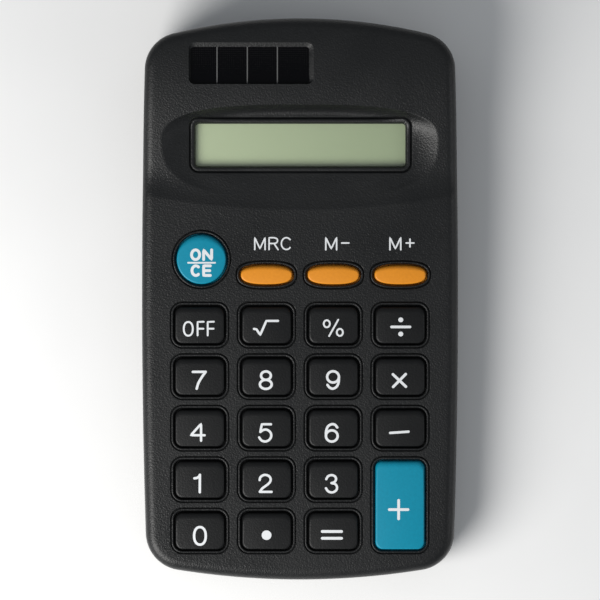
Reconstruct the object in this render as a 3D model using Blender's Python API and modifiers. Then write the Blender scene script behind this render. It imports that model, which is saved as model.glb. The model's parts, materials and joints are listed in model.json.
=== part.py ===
"""Pocket calculator with a solar cell, an eight-digit display, 23 sprung keys and a sliding battery door.

The object lies on its back. +X is its right, +Y points to the display end and +Z out of the key face.
The origin is on the plane of its feet, under the middle of the case. Lengths are written in
millimetres times MM, so that every number Blender gets is in metres.
"""

import math

import bmesh
import bpy
from mathutils import Matrix, Vector

MM = 0.001

# Case, seen from the front: four shallow arcs joined by round corners.
LENGTH = 115.0 * MM
WIDTH = 65.0 * MM
TOP_ARC = 110.0 * MM
BOTTOM_ARC = 160.0 * MM
SIDE_ARC = 1500.0 * MM
CORNER = 7.8 * MM
WALL = 1.6 * MM
DRAFT = 0.25 * MM

# Rounded edge round the face, as (inset, height over the face) in millimetres.
EDGE_SECTION = ((0.25, -1.9), (0.45, -1.1), (0.95, -0.45), (1.7, -0.08), (2.6, 0.3), (3.5, 3.0))

# Case, seen from the side.
FOOT_HEIGHT = 0.6 * MM
PARTING_Z = 7.5 * MM
SHELL_GAP = 0.05 * MM
KEYPAD_Z = 14.3 * MM
KEYPAD_TILT = math.radians(3.0)
VALLEY_Y = 18.4 * MM
VALLEY_ARC = 165.0 * MM
VALLEY_SLOPE = -0.10
VALLEY_RUN = 7.0 * MM
HEAD_SLOPE = 0.19
HEAD_LEVEL_RUN = 18.0 * MM
ROLL_START_Y = 38.0 * MM
ROLL_END_SLOPE = -0.14

# Oval scoop round the display.
SCOOP_Y = 32.0 * MM
SCOOP_HALF_WIDTH = 28.0 * MM
SCOOP_UPPER = (7.7 * MM, 2.9)
SCOOP_LOWER = (11.4 * MM, 2.1)
SCOOP_WALL_START = 0.8
FLOOR_TILT = math.radians(3.5)
FLOOR_START_Y = 21.2 * MM
FLOOR_DROP = 0.75 * MM

# Display, in a frame whose origin is on the scoop's floor under the middle of the window.
WINDOW_Y = 31.6 * MM
WINDOW_WIDTH = 42.9 * MM
WINDOW_HEIGHT = 8.7 * MM
WINDOW_CORNER = 0.9 * MM
WINDOW_LEDGE = 0.5 * MM
LENS_WIDTH = 47.4 * MM
LENS_HEIGHT = 12.0 * MM
LENS_THICKNESS = 0.8 * MM
POLARISER_THICKNESS = 0.2 * MM
GLASS_THICKNESS = 0.55 * MM
CONTACT_LEDGE = 2.0 * MM
STACK_GAP = 0.05 * MM
RETAINER_THICKNESS = 0.6 * MM
RETAINER_STAKE_X = 24.7 * MM
STAKE_RADIUS = 0.5 * MM
STAKE_END = -4.0 * MM

# Solar cell.
SOLAR_X = -10.05 * MM
SOLAR_Y = 48.05 * MM
SOLAR_WIDTH = 24.6 * MM
SOLAR_HEIGHT = 7.6 * MM
SOLAR_CORNER = 0.9 * MM
SOLAR_DEPTH = 0.8 * MM
CELL_MARGIN = 1.1 * MM
CELL_THICKNESS = 0.8 * MM

# Keys. Each hole is a little larger than its key, and each key has a flange that stops it inside.
COLUMN_PITCH = 13.64 * MM
ROW_PITCH = 10.55 * MM
FIRST_ROW_Y = -5.1 * MM
ROUND_KEY_X = -20.1 * MM
ROUND_KEY_Y = 8.3 * MM
OVAL_KEY_Y = 5.15 * MM
KEY_CLEARANCE = 0.3 * MM
KEY_WIDTH = 10.05 * MM
KEY_HEIGHT = 7.55 * MM
KEY_CORNER = 1.45 * MM
TALL_KEY_HEIGHT = KEY_HEIGHT + ROW_PITCH
ROUND_KEY = 10.1 * MM
OVAL_WIDTH = 10.5 * MM
OVAL_HEIGHT = 3.9 * MM
OVAL_POWER = 2.6
FLANGE_REACH = 0.8 * MM
FLANGE_THICKNESS = 0.7 * MM
KEY_PROUD = 0.9 * MM
KEY_EDGE = 0.45 * MM
KEY_CROWN = 0.15 * MM
KEY_DRAFT = 0.1 * MM

# Keypad stack under the keypad face.
DOME_HEIGHT = 1.5 * MM
DOME_BASE = 3.1 * MM
DOME_TOP = 1.9 * MM
DOME_WALL = 0.55 * MM
SHEET_THICKNESS = 0.8 * MM
BOARD_THICKNESS = 1.2 * MM
BOARD_HALF_WIDTH = 25.2 * MM
BOARD_BOTTOM_Y = -52.0 * MM
BOARD_TOP_Y = 23.6 * MM
SHEET_TOP_Y = 15.2 * MM
BOARD_CORNER = 1.5 * MM

# Battery, a size AA cell lying across the head.
BATTERY_Y = 45.0 * MM
BATTERY_RADIUS = 7.2 * MM
BATTERY_BODY = 49.3 * MM
BATTERY_NUB = 1.0 * MM
BATTERY_NUB_RADIUS = 2.7 * MM
BATTERY_CLEARANCE = 0.35 * MM
BATTERY_LEFT_X = -25.0 * MM

# Battery door. It is part of the back and of the end wall, and slides out along +Y.
DOOR_HALF_WIDTH = 28.0 * MM
DOOR_Y = 36.2 * MM
DOOR_TOP_Z = 5.0 * MM
DOOR_GAP = 0.15 * MM
RAIL_START_Y = 37.2 * MM
RAIL_END_Y = 49.4 * MM
RAIL_THICKNESS = 0.85 * MM
RAIL_GAP = 0.15 * MM
RAIL_FOOT_X = (27.9 * MM, 31.0 * MM)
TONGUE_X = (26.5 * MM, 28.4 * MM)
HOOK_POST_X = (25.4 * MM, 26.3 * MM)
HOOK_LIP_X = (25.7 * MM, 27.3 * MM)
TAB_X = (9.3 * MM, 14.7 * MM)
TAB_REACH = 1.9 * MM
TAB_THICKNESS = 0.7 * MM
TAB_SUNK = 0.55 * MM
GRIP_START_Y = 40.5 * MM
GRIP_PITCH = 1.9 * MM
GRIP_GROOVE = 0.9 * MM
GRIP_HALF_WIDTH = 9.0 * MM
GRIP_DEPTH = 0.4 * MM
ARROW_Y = (51.4 * MM, 54.0 * MM)
ARROW_HALF_WIDTH = 3.0 * MM

# Battery bay: a wall beside the door, and ribs that carry the two contacts.
BAY_WALL_HALF_WIDTH = 26.0 * MM
BAY_WALL_Y = (34.9 * MM, 35.9 * MM)
BAY_WALL_TOP_Z = 11.2 * MM
RIB_LOW_Z = 4.5 * MM
RIB_HIGH_Z = 6.5 * MM
CONTACT_WALL_X = (26.3 * MM, 27.3 * MM)
CONTACT_RIB_X = (27.0 * MM, 31.2 * MM)
SPRING_RIB_X = (-31.2 * MM, -29.7 * MM)
CONTACT_LOW_Z = 5.2 * MM
CONTACT_HALF_HEIGHT = 3.4 * MM
CONTACT_THICKNESS = 0.4 * MM
SPRING_PLATE_X = -29.6 * MM
SPRING_WIRE = 0.3 * MM
SPRING_TURNS = 3.5
SPRING_RADII = (3.1 * MM, 1.6 * MM)

# Feet, as places on the back.
FEET = ((-21.0 * MM, 29.0 * MM), (21.0 * MM, 29.0 * MM), (-20.0 * MM, -47.0 * MM), (20.0 * MM, -47.0 * MM))
FOOT_RADII = (2.6 * MM, 3.2 * MM)

# Screws.
CASE_SCREW_X = 28.2 * MM
CASE_SCREWS = [(side * CASE_SCREW_X, y * MM) for y in (22.0, -43.0) for side in (-1, 1)]
BOSS_RADIUS = 1.9 * MM
COUNTERBORE_RADIUS = 2.1 * MM
COUNTERBORE_TOP_Z = 3.6 * MM
SCREW_HEAD_RADIUS = 1.8 * MM
SCREW_HEAD_HEIGHT = 1.2 * MM
SCREW_SHANK_RADIUS = 0.85 * MM
SCREW_LENGTH = 7.0 * MM
PILOT_CLEARANCE = 0.08 * MM
BOARD_SCREW_LENGTH = 3.0 * MM
BOARD_SCREW_HEAD = 1.35 * MM
BOARD_SCREW_HEAD_HEIGHT = 0.8 * MM
BOARD_SCREW_SHANK = 0.5 * MM
BOARD_BOSS_RADIUS = 1.4 * MM

COARSE = 12
FINE = 24
TOUCH_GAP = 0.05 * MM


# ---------------------------------------------------------------- surfaces of the case


def keypad_z(y):
    return KEYPAD_Z + y * math.tan(KEYPAD_TILT)


def smooth(t):
    t = min(1.0, max(0.0, t))
    return t * t * (3 - 2 * t)


def head_z(x, y):
    """Height of the head before the scoop: a valley along an arc, a rise, then a roll towards the end."""
    bulge = x * x / (2 * VALLEY_ARC)
    edge = VALLEY_Y + bulge
    past = max(0.0, y - edge)
    share = min(1.0, past / VALLEY_RUN)
    risen = VALLEY_RUN * (share**3 - share**4 / 2) + max(0.0, past - VALLEY_RUN)
    height = keypad_z(edge) + VALLEY_SLOPE * past + (HEAD_SLOPE - VALLEY_SLOPE) * risen
    height += bulge * (HEAD_SLOPE - math.tan(KEYPAD_TILT)) * smooth(past / HEAD_LEVEL_RUN)
    rolled = max(0.0, y - ROLL_START_Y)
    bend = (HEAD_SLOPE - ROLL_END_SLOPE) / (LENGTH / 2 - ROLL_START_Y)
    return height - bend * rolled * rolled / 2


def floor_z(y):
    return keypad_z(VALLEY_Y) - FLOOR_DROP + (y - FLOOR_START_Y) * math.tan(FLOOR_TILT)


def scoop_share(x, y):
    """0 outside the scoop, 1 on its floor."""
    half_height, power = SCOOP_UPPER if y > SCOOP_Y else SCOOP_LOWER
    across = abs(x / SCOOP_HALF_WIDTH) ** power
    along = abs((y - SCOOP_Y) / half_height) ** power
    reach = (across + along) ** (1 / power)
    into = min(1.0, max(0.0, (1 - reach) / (1 - SCOOP_WALL_START)))
    return 1 - (1 - into) ** 2


def face_z(x, y):
    """Height of the front face over the point x, y."""
    if y < VALLEY_Y + x * x / (2 * VALLEY_ARC):
        return keypad_z(y)
    head = head_z(x, y)
    return head - max(0.0, head - floor_z(y)) * scoop_share(x, y)


def keypad_frame():
    """From keypad coordinates (right, up the keypad, out of it) to the world."""
    return Matrix.Translation((0, 0, KEYPAD_Z)) @ Matrix.Rotation(KEYPAD_TILT, 4, "X")


def display_frame():
    return Matrix.Translation((0, WINDOW_Y, floor_z(WINDOW_Y))) @ Matrix.Rotation(FLOOR_TILT, 4, "X")


def solar_frame():
    y = SOLAR_Y
    slope = (head_z(0, y + MM) - head_z(0, y - MM)) / (2 * MM)
    return Matrix.Translation((SOLAR_X, y, head_z(0, y))) @ Matrix.Rotation(math.atan(slope), 4, "X")


# ---------------------------------------------------------------- outlines


def arc(centre, radius, start, end, steps):
    """Points on an arc from start to end, both included, in radians."""
    angles = [start + (end - start) * i / steps for i in range(steps + 1)]
    return [(centre[0] + radius * math.cos(a), centre[1] + radius * math.sin(a)) for a in angles]


def corner_centre(end_centre_y, end_radius, sign):
    """Centre of the right-hand corner that touches the side arc and one end arc from inside."""
    side_centre_x = WIDTH / 2 - SIDE_ARC
    a, b = SIDE_ARC - CORNER, end_radius - CORNER
    apart = math.hypot(side_centre_x, end_centre_y)
    along = (a * a - b * b + apart * apart) / (2 * apart)
    off = math.sqrt(a * a - along * along)
    toward = Vector((-side_centre_x, end_centre_y)) / apart
    across = Vector((-toward.y, toward.x)) * sign
    return Vector((side_centre_x, 0)) + toward * along + across * off


def case_outline(inset, corner_steps=6, end_steps=8, side_steps=6):
    """Anticlockwise outline of the case, moved inwards by inset."""
    top_centre = Vector((0, LENGTH / 2 - TOP_ARC))
    bottom_centre = Vector((0, BOTTOM_ARC - LENGTH / 2))
    side_centre = Vector((WIDTH / 2 - SIDE_ARC, 0))
    upper = corner_centre(top_centre.y, TOP_ARC, 1)
    lower = corner_centre(bottom_centre.y, BOTTOM_ARC, -1)

    def heading(centre, point):
        return math.atan2(point[1] - centre[1], point[0] - centre[0])

    low, high = heading(side_centre, lower), heading(side_centre, upper)
    top, bottom = heading(top_centre, upper), heading(bottom_centre, lower)
    right = arc(lower, CORNER - inset, bottom, low, corner_steps)
    right += arc(side_centre, SIDE_ARC - inset, low, high, side_steps)[1:-1]
    right += arc(upper, CORNER - inset, high, top, corner_steps)
    upper_end = arc(top_centre, TOP_ARC - inset, top, math.pi - top, end_steps)[1:-1]
    left = [(-x, y) for x, y in reversed(right)]
    lower_end = arc(bottom_centre, BOTTOM_ARC - inset, -math.pi - bottom, bottom, end_steps)[1:-1]
    return right + upper_end + left + lower_end


def rounded_box(width, height, corner, steps=2):
    """Anticlockwise rounded rectangle round the origin."""
    x, y = width / 2 - corner, height / 2 - corner
    points = []
    for quarter, (sx, sy) in enumerate(((1, 1), (-1, 1), (-1, -1), (1, -1))):
        start = quarter * math.pi / 2
        points += arc((sx * x, sy * y), corner, start, start + math.pi / 2, steps)
    return points


def super_oval(width, height, power, count):
    """Anticlockwise superellipse round the origin. Power 2 is an ellipse."""
    points = []
    for i in range(count):
        angle = 2 * math.pi * (i + 0.5) / count
        c, s = math.cos(angle), math.sin(angle)
        x = math.copysign(abs(c) ** (2 / power), c) * width / 2
        y = math.copysign(abs(s) ** (2 / power), s) * height / 2
        points.append((x, y))
    return points


# ---------------------------------------------------------------- Blender helpers


def clear_scene():
    for obj in list(bpy.data.objects):
        bpy.data.objects.remove(obj)


def new_collection(name):
    made = bpy.data.collections.new(name)
    bpy.context.scene.collection.children.link(made)
    return made


def new_material(name, colour, roughness, metallic=0.0):
    made = bpy.data.materials.new(name)
    made.use_nodes = True
    shader = made.node_tree.nodes["Principled BSDF"]
    shader.inputs["Base Color"].default_value = (*colour, 1.0)
    shader.inputs["Roughness"].default_value = roughness
    shader.inputs["Metallic"].default_value = metallic
    return made


def object_from_bmesh(bm, name, frame=None):
    mesh = bpy.data.meshes.new(name)
    bmesh.ops.recalc_face_normals(bm, faces=bm.faces)
    bm.to_mesh(mesh)
    bm.free()
    obj = bpy.data.objects.new(name, mesh)
    if frame is not None:
        obj.matrix_world = frame
    return obj


def mesh_from_curve(curve_obj):
    """A mesh object in the curve object's place, with the curve's caps welded on."""
    bpy.context.scene.collection.objects.link(curve_obj)
    bpy.context.view_layer.update()
    graph = bpy.context.evaluated_depsgraph_get()
    mesh = bpy.data.meshes.new_from_object(curve_obj.evaluated_get(graph))
    bm = bmesh.new()
    bm.from_mesh(mesh)
    bmesh.ops.remove_doubles(bm, verts=bm.verts, dist=0.001 * MM)
    bmesh.ops.recalc_face_normals(bm, faces=bm.faces)
    bm.to_mesh(mesh)
    bm.free()
    obj = bpy.data.objects.new(curve_obj.name + "_mesh", mesh)
    obj.matrix_world = curve_obj.matrix_world
    bpy.data.objects.remove(curve_obj)
    return obj


def slab(name, outline, low, high, frame=None):
    """A flat outline given thickness from low to high, along the frame's z."""
    data = bpy.data.curves.new(name, "CURVE")
    data.dimensions = "2D"
    data.fill_mode = "BOTH"
    data.extrude = (high - low) / 2
    spline = data.splines.new("POLY")
    spline.points.add(len(outline) - 1)
    for point, (x, y) in zip(spline.points, outline):
        point.co = (x, y, 0, 1)
    spline.use_cyclic_u = True
    curve_obj = bpy.data.objects.new(name, data)
    curve_obj.matrix_world = (frame or Matrix()) @ Matrix.Translation((0, 0, (low + high) / 2))
    obj = mesh_from_curve(curve_obj)
    obj.name = name
    return obj


def block(name, low, high, frame=None):
    """A box between two corners."""
    bm = bmesh.new()
    bmesh.ops.create_cube(bm, size=1.0)
    size = [b - a for a, b in zip(low, high)]
    middle = [(a + b) / 2 for a, b in zip(low, high)]
    bmesh.ops.transform(bm, matrix=Matrix.Translation(middle) @ Matrix.Diagonal((*size, 1)), verts=bm.verts)
    return object_from_bmesh(bm, name, frame)


def rod(name, x, y, low, high, radius, steps=COARSE, top_radius=None, frame=None):
    """A cylinder or cone along z."""
    bm = bmesh.new()
    upper = radius if top_radius is None else top_radius
    place = Matrix.Translation((x, y, (low + high) / 2))
    bmesh.ops.create_cone(
        bm, cap_ends=True, segments=steps, radius1=radius, radius2=upper, depth=high - low, matrix=place
    )
    return object_from_bmesh(bm, name, frame)


def turned(name, profile, steps, frame):
    """A solid of revolution about the frame's z. The profile runs down its outer side."""
    data = bpy.data.meshes.new(name)
    data.from_pydata([(r, 0, z) for r, z in profile], [(i, i + 1) for i in range(len(profile) - 1)], [])
    obj = bpy.data.objects.new(name, data)
    obj.matrix_world = frame
    screw = obj.modifiers.new("Screw", "SCREW")
    screw.steps = steps
    screw.render_steps = steps
    screw.use_merge_vertices = True
    screw.merge_threshold = 0.01 * MM
    return obj


def loft(name, rings, frame=None):
    """A closed solid through rings of equally many (x, y, z) points."""
    bm = bmesh.new()
    loops = [[bm.verts.new(p) for p in ring] for ring in rings]
    count = len(rings[0])
    for below, above in zip(loops, loops[1:]):
        for i in range(count):
            j = (i + 1) % count
            bm.faces.new((below[i], below[j], above[j], above[i]))
    bm.faces.new(list(reversed(loops[0])))
    bm.faces.new(loops[-1])
    return object_from_bmesh(bm, name, frame)


def height_block(name, height, drop, bottom):
    """A solid under the face: its top is a grid laid drop below height(x, y)."""
    bm = bmesh.new()
    bmesh.ops.create_grid(bm, x_segments=24, y_segments=44, size=0.5)
    for vert in bm.verts:
        x, y = vert.co.x * 1.13 * WIDTH, vert.co.y * 1.05 * LENGTH
        vert.co = (x, y, height(x, y) - drop)
    rim = [edge for edge in bm.edges if edge.is_boundary]
    made = bmesh.ops.extrude_edge_only(bm, edges=rim)["geom"]
    for vert in made:
        if isinstance(vert, bmesh.types.BMVert):
            vert.co.z = bottom
    bmesh.ops.holes_fill(bm, edges=[e for e in made if isinstance(e, bmesh.types.BMEdge)], sides=0)
    flat = math.radians(0.3)
    bmesh.ops.dissolve_limit(bm, angle_limit=flat, verts=bm.verts, edges=bm.edges)
    return object_from_bmesh(bm, name)


def joined(name, pieces):
    """Separate closed pieces as one mesh, in the world's frame."""
    bm = bmesh.new()
    for piece in pieces:
        mesh = piece.data.copy()
        mesh.transform(piece.matrix_world)
        bm.from_mesh(mesh)
        bpy.data.meshes.remove(mesh)
        bpy.data.objects.remove(piece)
    return object_from_bmesh(bm, name)


class Builder:
    """Keeps the collections, the materials and the naming in one place."""

    def __init__(self):
        self.parts = new_collection("pocket_calculator")
        self.cutters = new_collection("cutters")
        self.cutters.hide_render = True
        self.materials = {
            "case_black": new_material("case_black", (0.022, 0.022, 0.024), 0.5),
            "key_black": new_material("key_black", (0.02, 0.02, 0.022), 0.45),
            "key_blue": new_material("key_blue", (0.004, 0.23, 0.36), 0.45),
            "key_orange": new_material("key_orange", (0.75, 0.27, 0.03), 0.45),
            "clear_plastic": new_material("clear_plastic", (0.9, 0.92, 0.9), 0.08),
            "display_green": new_material("display_green", (0.36, 0.44, 0.28), 0.3),
            "glass": new_material("glass", (0.8, 0.85, 0.82), 0.05),
            "solar_dark": new_material("solar_dark", (0.006, 0.006, 0.008), 0.2),
            "rubber_grey": new_material("rubber_grey", (0.35, 0.35, 0.34), 0.7),
            "board_brown": new_material("board_brown", (0.35, 0.2, 0.08), 0.6),
            "epoxy_black": new_material("epoxy_black", (0.012, 0.012, 0.012), 0.3),
            "steel": new_material("steel", (0.6, 0.6, 0.58), 0.3, 1.0),
            "battery_jacket": new_material("battery_jacket", (0.12, 0.13, 0.14), 0.35),
            "ribbon_amber": new_material("ribbon_amber", (0.5, 0.28, 0.06), 0.35),
            "wire_red": new_material("wire_red", (0.5, 0.02, 0.02), 0.4),
            "wire_black": new_material("wire_black", (0.015, 0.015, 0.015), 0.4),
            "component": new_material("component", (0.55, 0.42, 0.24), 0.45),
        }

    def part(self, obj, name, material):
        obj.name = name
        obj.data.name = name
        obj.data.materials.clear()
        obj.data.materials.append(self.materials[material])
        self.parts.objects.link(obj)
        return obj

    def helper(self, obj):
        obj.hide_render = True
        obj.display_type = "WIRE"
        self.cutters.objects.link(obj)
        return obj

    def boolean(self, obj, other, operation):
        self.helper(other)
        modifier = obj.modifiers.new(operation.title() + " " + other.name, "BOOLEAN")
        modifier.operation = operation
        modifier.object = other
        return obj

    def cut(self, obj, *others):
        for other in others:
            self.boolean(obj, other, "DIFFERENCE")
        return obj

    def add(self, obj, *others):
        for other in others:
            self.boolean(obj, other, "UNION")
        return obj


# ---------------------------------------------------------------- keys


def key_layout():
    """Every key as (name, shape, x, y along the keypad, width, height, corner, material)."""
    columns = [(i - 1.5) * COLUMN_PITCH for i in range(4)]
    rows = [FIRST_ROW_Y - i * ROW_PITCH for i in range(5)]
    names = (
        ("off", "square_root", "percent", "divide"),
        ("7", "8", "9", "multiply"),
        ("4", "5", "6", "minus"),
        ("1", "2", "3", None),
        ("0", "point", "equals", None),
    )
    keys = [("on_ce", "round", ROUND_KEY_X, ROUND_KEY_Y, ROUND_KEY, ROUND_KEY, 0, "key_blue")]
    for name, x in zip(("mrc", "m_minus", "m_plus"), columns[1:]):
        keys.append((name, "oval", x, OVAL_KEY_Y, OVAL_WIDTH, OVAL_HEIGHT, 0, "key_orange"))
    for y, row in zip(rows, names):
        for x, name in zip(columns, row):
            if name is not None:
                keys.append((name, "box", x, y, KEY_WIDTH, KEY_HEIGHT, KEY_CORNER, "key_black"))
    tall_y = (rows[3] + rows[4]) / 2
    keys.append(("plus", "box", columns[3], tall_y, KEY_WIDTH, TALL_KEY_HEIGHT, KEY_CORNER, "key_blue"))
    return keys


def key_outline(shape, width, height, corner, grow):
    """Outline of a key made larger by grow on every side."""
    if shape == "box":
        return rounded_box(width + 2 * grow, height + 2 * grow, max(0.3 * MM, corner + grow))
    power = OVAL_POWER if shape == "oval" else 2
    return super_oval(width + 2 * grow, height + 2 * grow, power, 16)


def make_keys(builder):
    """Solid caps with a stop flange. The origin of each is on its own axis, level with the face."""
    frame = keypad_frame()
    flange_top = -WALL - TOUCH_GAP
    sections = (
        (FLANGE_REACH, flange_top - FLANGE_THICKNESS),
        (FLANGE_REACH, flange_top),
        (0.0, flange_top),
        (-KEY_DRAFT, KEY_PROUD - KEY_EDGE),
        (-KEY_DRAFT - 0.3 * KEY_EDGE, KEY_PROUD - 0.3 * KEY_EDGE),
        (-KEY_DRAFT - KEY_EDGE, KEY_PROUD),
        (-KEY_DRAFT - 3.5 * KEY_EDGE, KEY_PROUD + KEY_CROWN),
    )
    for name, shape, x, y, width, height, corner, material in key_layout():
        rings = []
        for grow, z in sections:
            outline = key_outline(shape, width, height, corner, grow)
            rings.append([(px, py, z) for px, py in outline])
        cap = loft("key_" + name, rings, frame @ Matrix.Translation((x, y, 0)))
        builder.part(cap, "key_" + name, material)


def key_holes():
    frame = keypad_frame()
    holes = []
    for name, shape, x, y, width, height, corner, _ in key_layout():
        outline = key_outline(shape, width, height, corner, KEY_CLEARANCE)
        hole = slab("hole_" + name, outline, -4 * MM, 4 * MM, frame @ Matrix.Translation((x, y, 0)))
        holes.append(hole)
    return joined("key_holes", holes)


def dome_places():
    """One dome under the middle of each key, and two under the tall one."""
    places = []
    for name, _, x, y, _, _, _, _ in key_layout():
        if name == "plus":
            places += [(x, y - ROW_PITCH / 2), (x, y + ROW_PITCH / 2)]
        else:
            places.append((x, y))
    return places


def board_screw_places():
    """Where the keypad bosses stand: between the corners of four keys, and above the keys."""
    column = COLUMN_PITCH
    row = FIRST_ROW_Y - ROW_PITCH / 2
    return (
        (-column, 19.6 * MM),
        (column, 19.6 * MM),
        (-column, row),
        (column, row),
        (-column, row - 3 * ROW_PITCH),
        (column, row - 2 * ROW_PITCH),
    )


# ---------------------------------------------------------------- case


def stack_levels():
    """Heights below the keypad face of the flange, the sheet and the board."""
    flange_bottom = -WALL - TOUCH_GAP - FLANGE_THICKNESS
    sheet_top = flange_bottom - TOUCH_GAP - DOME_HEIGHT
    sheet_bottom = sheet_top - SHEET_THICKNESS
    board_top = sheet_bottom - TOUCH_GAP
    return sheet_top, sheet_bottom, board_top, board_top - BOARD_THICKNESS


def level_ring(inset, z):
    return [(x, y, z) for x, y in case_outline(inset)]


def front_form():
    """The outside of the front: slightly leaning sides and a rounded edge that follows the face."""
    rings = [[(x, y, PARTING_Z + SHELL_GAP) for x, y in case_outline(0, side_steps=26)]]
    for inset, rise in EDGE_SECTION:
        outline = case_outline(inset * MM, side_steps=26)
        rings.append([(x, y, face_z(x, y) + rise * MM) for x, y in outline])
    return loft("front_shell", rings)


def make_front_shell(builder):
    shell = builder.part(front_form(), "front_shell", "case_black")
    builder.boolean(shell, height_block("face_form", face_z, 0, 0), "INTERSECT")
    cavity = loft("front_cavity", [level_ring(WALL, PARTING_Z - MM), level_ring(WALL + DRAFT, 25 * MM)])
    cavity = builder.boolean(cavity, height_block("ceiling_form", face_z, WALL, 0), "INTERSECT")
    builder.cut(shell, cavity)
    builder.cut(shell, key_holes())

    display = display_frame()
    window = rounded_box(WINDOW_WIDTH, WINDOW_HEIGHT, WINDOW_CORNER)
    pocket = rounded_box(LENS_WIDTH + 0.3 * MM, LENS_HEIGHT + 0.3 * MM, WINDOW_CORNER)
    builder.cut(
        shell,
        slab("window_hole", window, -3 * MM, 3 * MM, display),
        slab("lens_pocket", pocket, -4 * MM, -WINDOW_LEDGE, display),
    )
    solar = solar_frame()
    mouth = rounded_box(SOLAR_WIDTH, SOLAR_HEIGHT, SOLAR_CORNER)
    seat = rounded_box(SOLAR_WIDTH + 2 * CELL_MARGIN, SOLAR_HEIGHT + 2 * CELL_MARGIN, SOLAR_CORNER)
    builder.cut(
        shell,
        slab("solar_hole", mouth, -3 * MM, 3 * MM, solar),
        slab("cell_pocket", seat, -4 * MM, -SOLAR_DEPTH, solar),
    )
    builder.add(shell, *front_bosses())
    builder.cut(shell, joined("pilot_holes", pilot_holes()))


def front_bosses():
    """Posts that take the case screws, and smaller ones that take the board screws."""
    bosses = []
    for i, (x, y) in enumerate(CASE_SCREWS):
        top = face_z(x, y) - WALL / 2
        bosses.append(rod(f"case_boss_{i}", x, y, PARTING_Z + SHELL_GAP, top, BOSS_RADIUS))
    board_top = stack_levels()[2]
    frame = keypad_frame()
    for i, (x, y) in enumerate(board_screw_places()):
        low, high = board_top + TOUCH_GAP, -WALL / 2
        bosses.append(rod(f"board_boss_{i}", x, y, low, high, BOARD_BOSS_RADIUS, 10, frame=frame))
    for side in (-1, 1):
        x = side * RETAINER_STAKE_X
        bosses.append(rod(f"stake_{side}", x, 0, STAKE_END, -MM, STAKE_RADIUS, 10, frame=display_frame()))
    return bosses


def pilot_holes():
    holes = []
    for i, (x, y) in enumerate(CASE_SCREWS):
        top = COUNTERBORE_TOP_Z + SCREW_LENGTH + 0.4 * MM
        radius = SCREW_SHANK_RADIUS + PILOT_CLEARANCE
        holes.append(rod(f"case_pilot_{i}", x, y, 0, top, radius, 10))
    board_top, board_bottom = stack_levels()[2:]
    frame = keypad_frame()
    for i, (x, y) in enumerate(board_screw_places()):
        top = board_bottom + BOARD_SCREW_LENGTH + 0.3 * MM
        radius = BOARD_SCREW_SHANK + PILOT_CLEARANCE
        holes.append(rod(f"board_pilot_{i}", x, y, board_top - 3 * MM, top, radius, 10, frame=frame))
    return holes


def back_form(name):
    """The outside of the back: rounded from the flat underside up to the parting line."""
    sections = ((2.6, 0.0), (1.5, 0.35), (0.7, 1.1), (0.3, 2.4), (0.0, 6.9))
    return loft(name, [level_ring(inset * MM, FOOT_HEIGHT + rise * MM) for inset, rise in sections])


def back_cavity(name, inset):
    floor = FOOT_HEIGHT + WALL
    lower = level_ring(inset + 1.2 * MM, floor)
    middle = level_ring(inset + 0.4 * MM, floor + 0.8 * MM)
    return loft(name, [lower, middle, level_ring(inset, PARTING_Z + MM)])


def mirrored(side, span):
    """A span of x on the right, or its mirror on the left, low end first."""
    return sorted((side * span[0], side * span[1]))


def bay_walls():
    """Walls and tongues that form the battery bay."""
    floor = FOOT_HEIGHT + WALL
    sunk = floor - 0.4 * MM
    tongue_low = floor + RAIL_GAP
    tongue_high = tongue_low + RAIL_THICKNESS
    wall = (-BAY_WALL_HALF_WIDTH, BAY_WALL_Y[0], sunk), (BAY_WALL_HALF_WIDTH, BAY_WALL_Y[1], BAY_WALL_TOP_Z)
    pieces = [block("bay_wall", *wall)]
    for side in (-1, 1):
        left, right = mirrored(side, RAIL_FOOT_X)
        foot = (left, RAIL_START_Y, sunk), (right, RAIL_END_Y, tongue_high)
        pieces.append(block(f"rail_foot_{side}", *foot))
        left, right = mirrored(side, TONGUE_X)
        tongue = (left, RAIL_START_Y, tongue_low), (right, RAIL_END_Y, tongue_high)
        pieces.append(block(f"rail_tongue_{side}", *tongue))
    wall_top = battery_centre_z() + 2.6 * MM
    ribs = (
        ("contact_wall", CONTACT_WALL_X, 3.8 * MM, wall_top),
        ("contact_rib", CONTACT_RIB_X, 0.7 * MM, RIB_HIGH_Z),
        ("spring_rib", SPRING_RIB_X, 2.0 * MM, RIB_HIGH_Z),
    )
    for name, (left, right), half, top in ribs:
        pieces.append(block(name, (left, BATTERY_Y - half, RIB_LOW_Z), (right, BATTERY_Y + half, top)))
    return pieces


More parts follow.
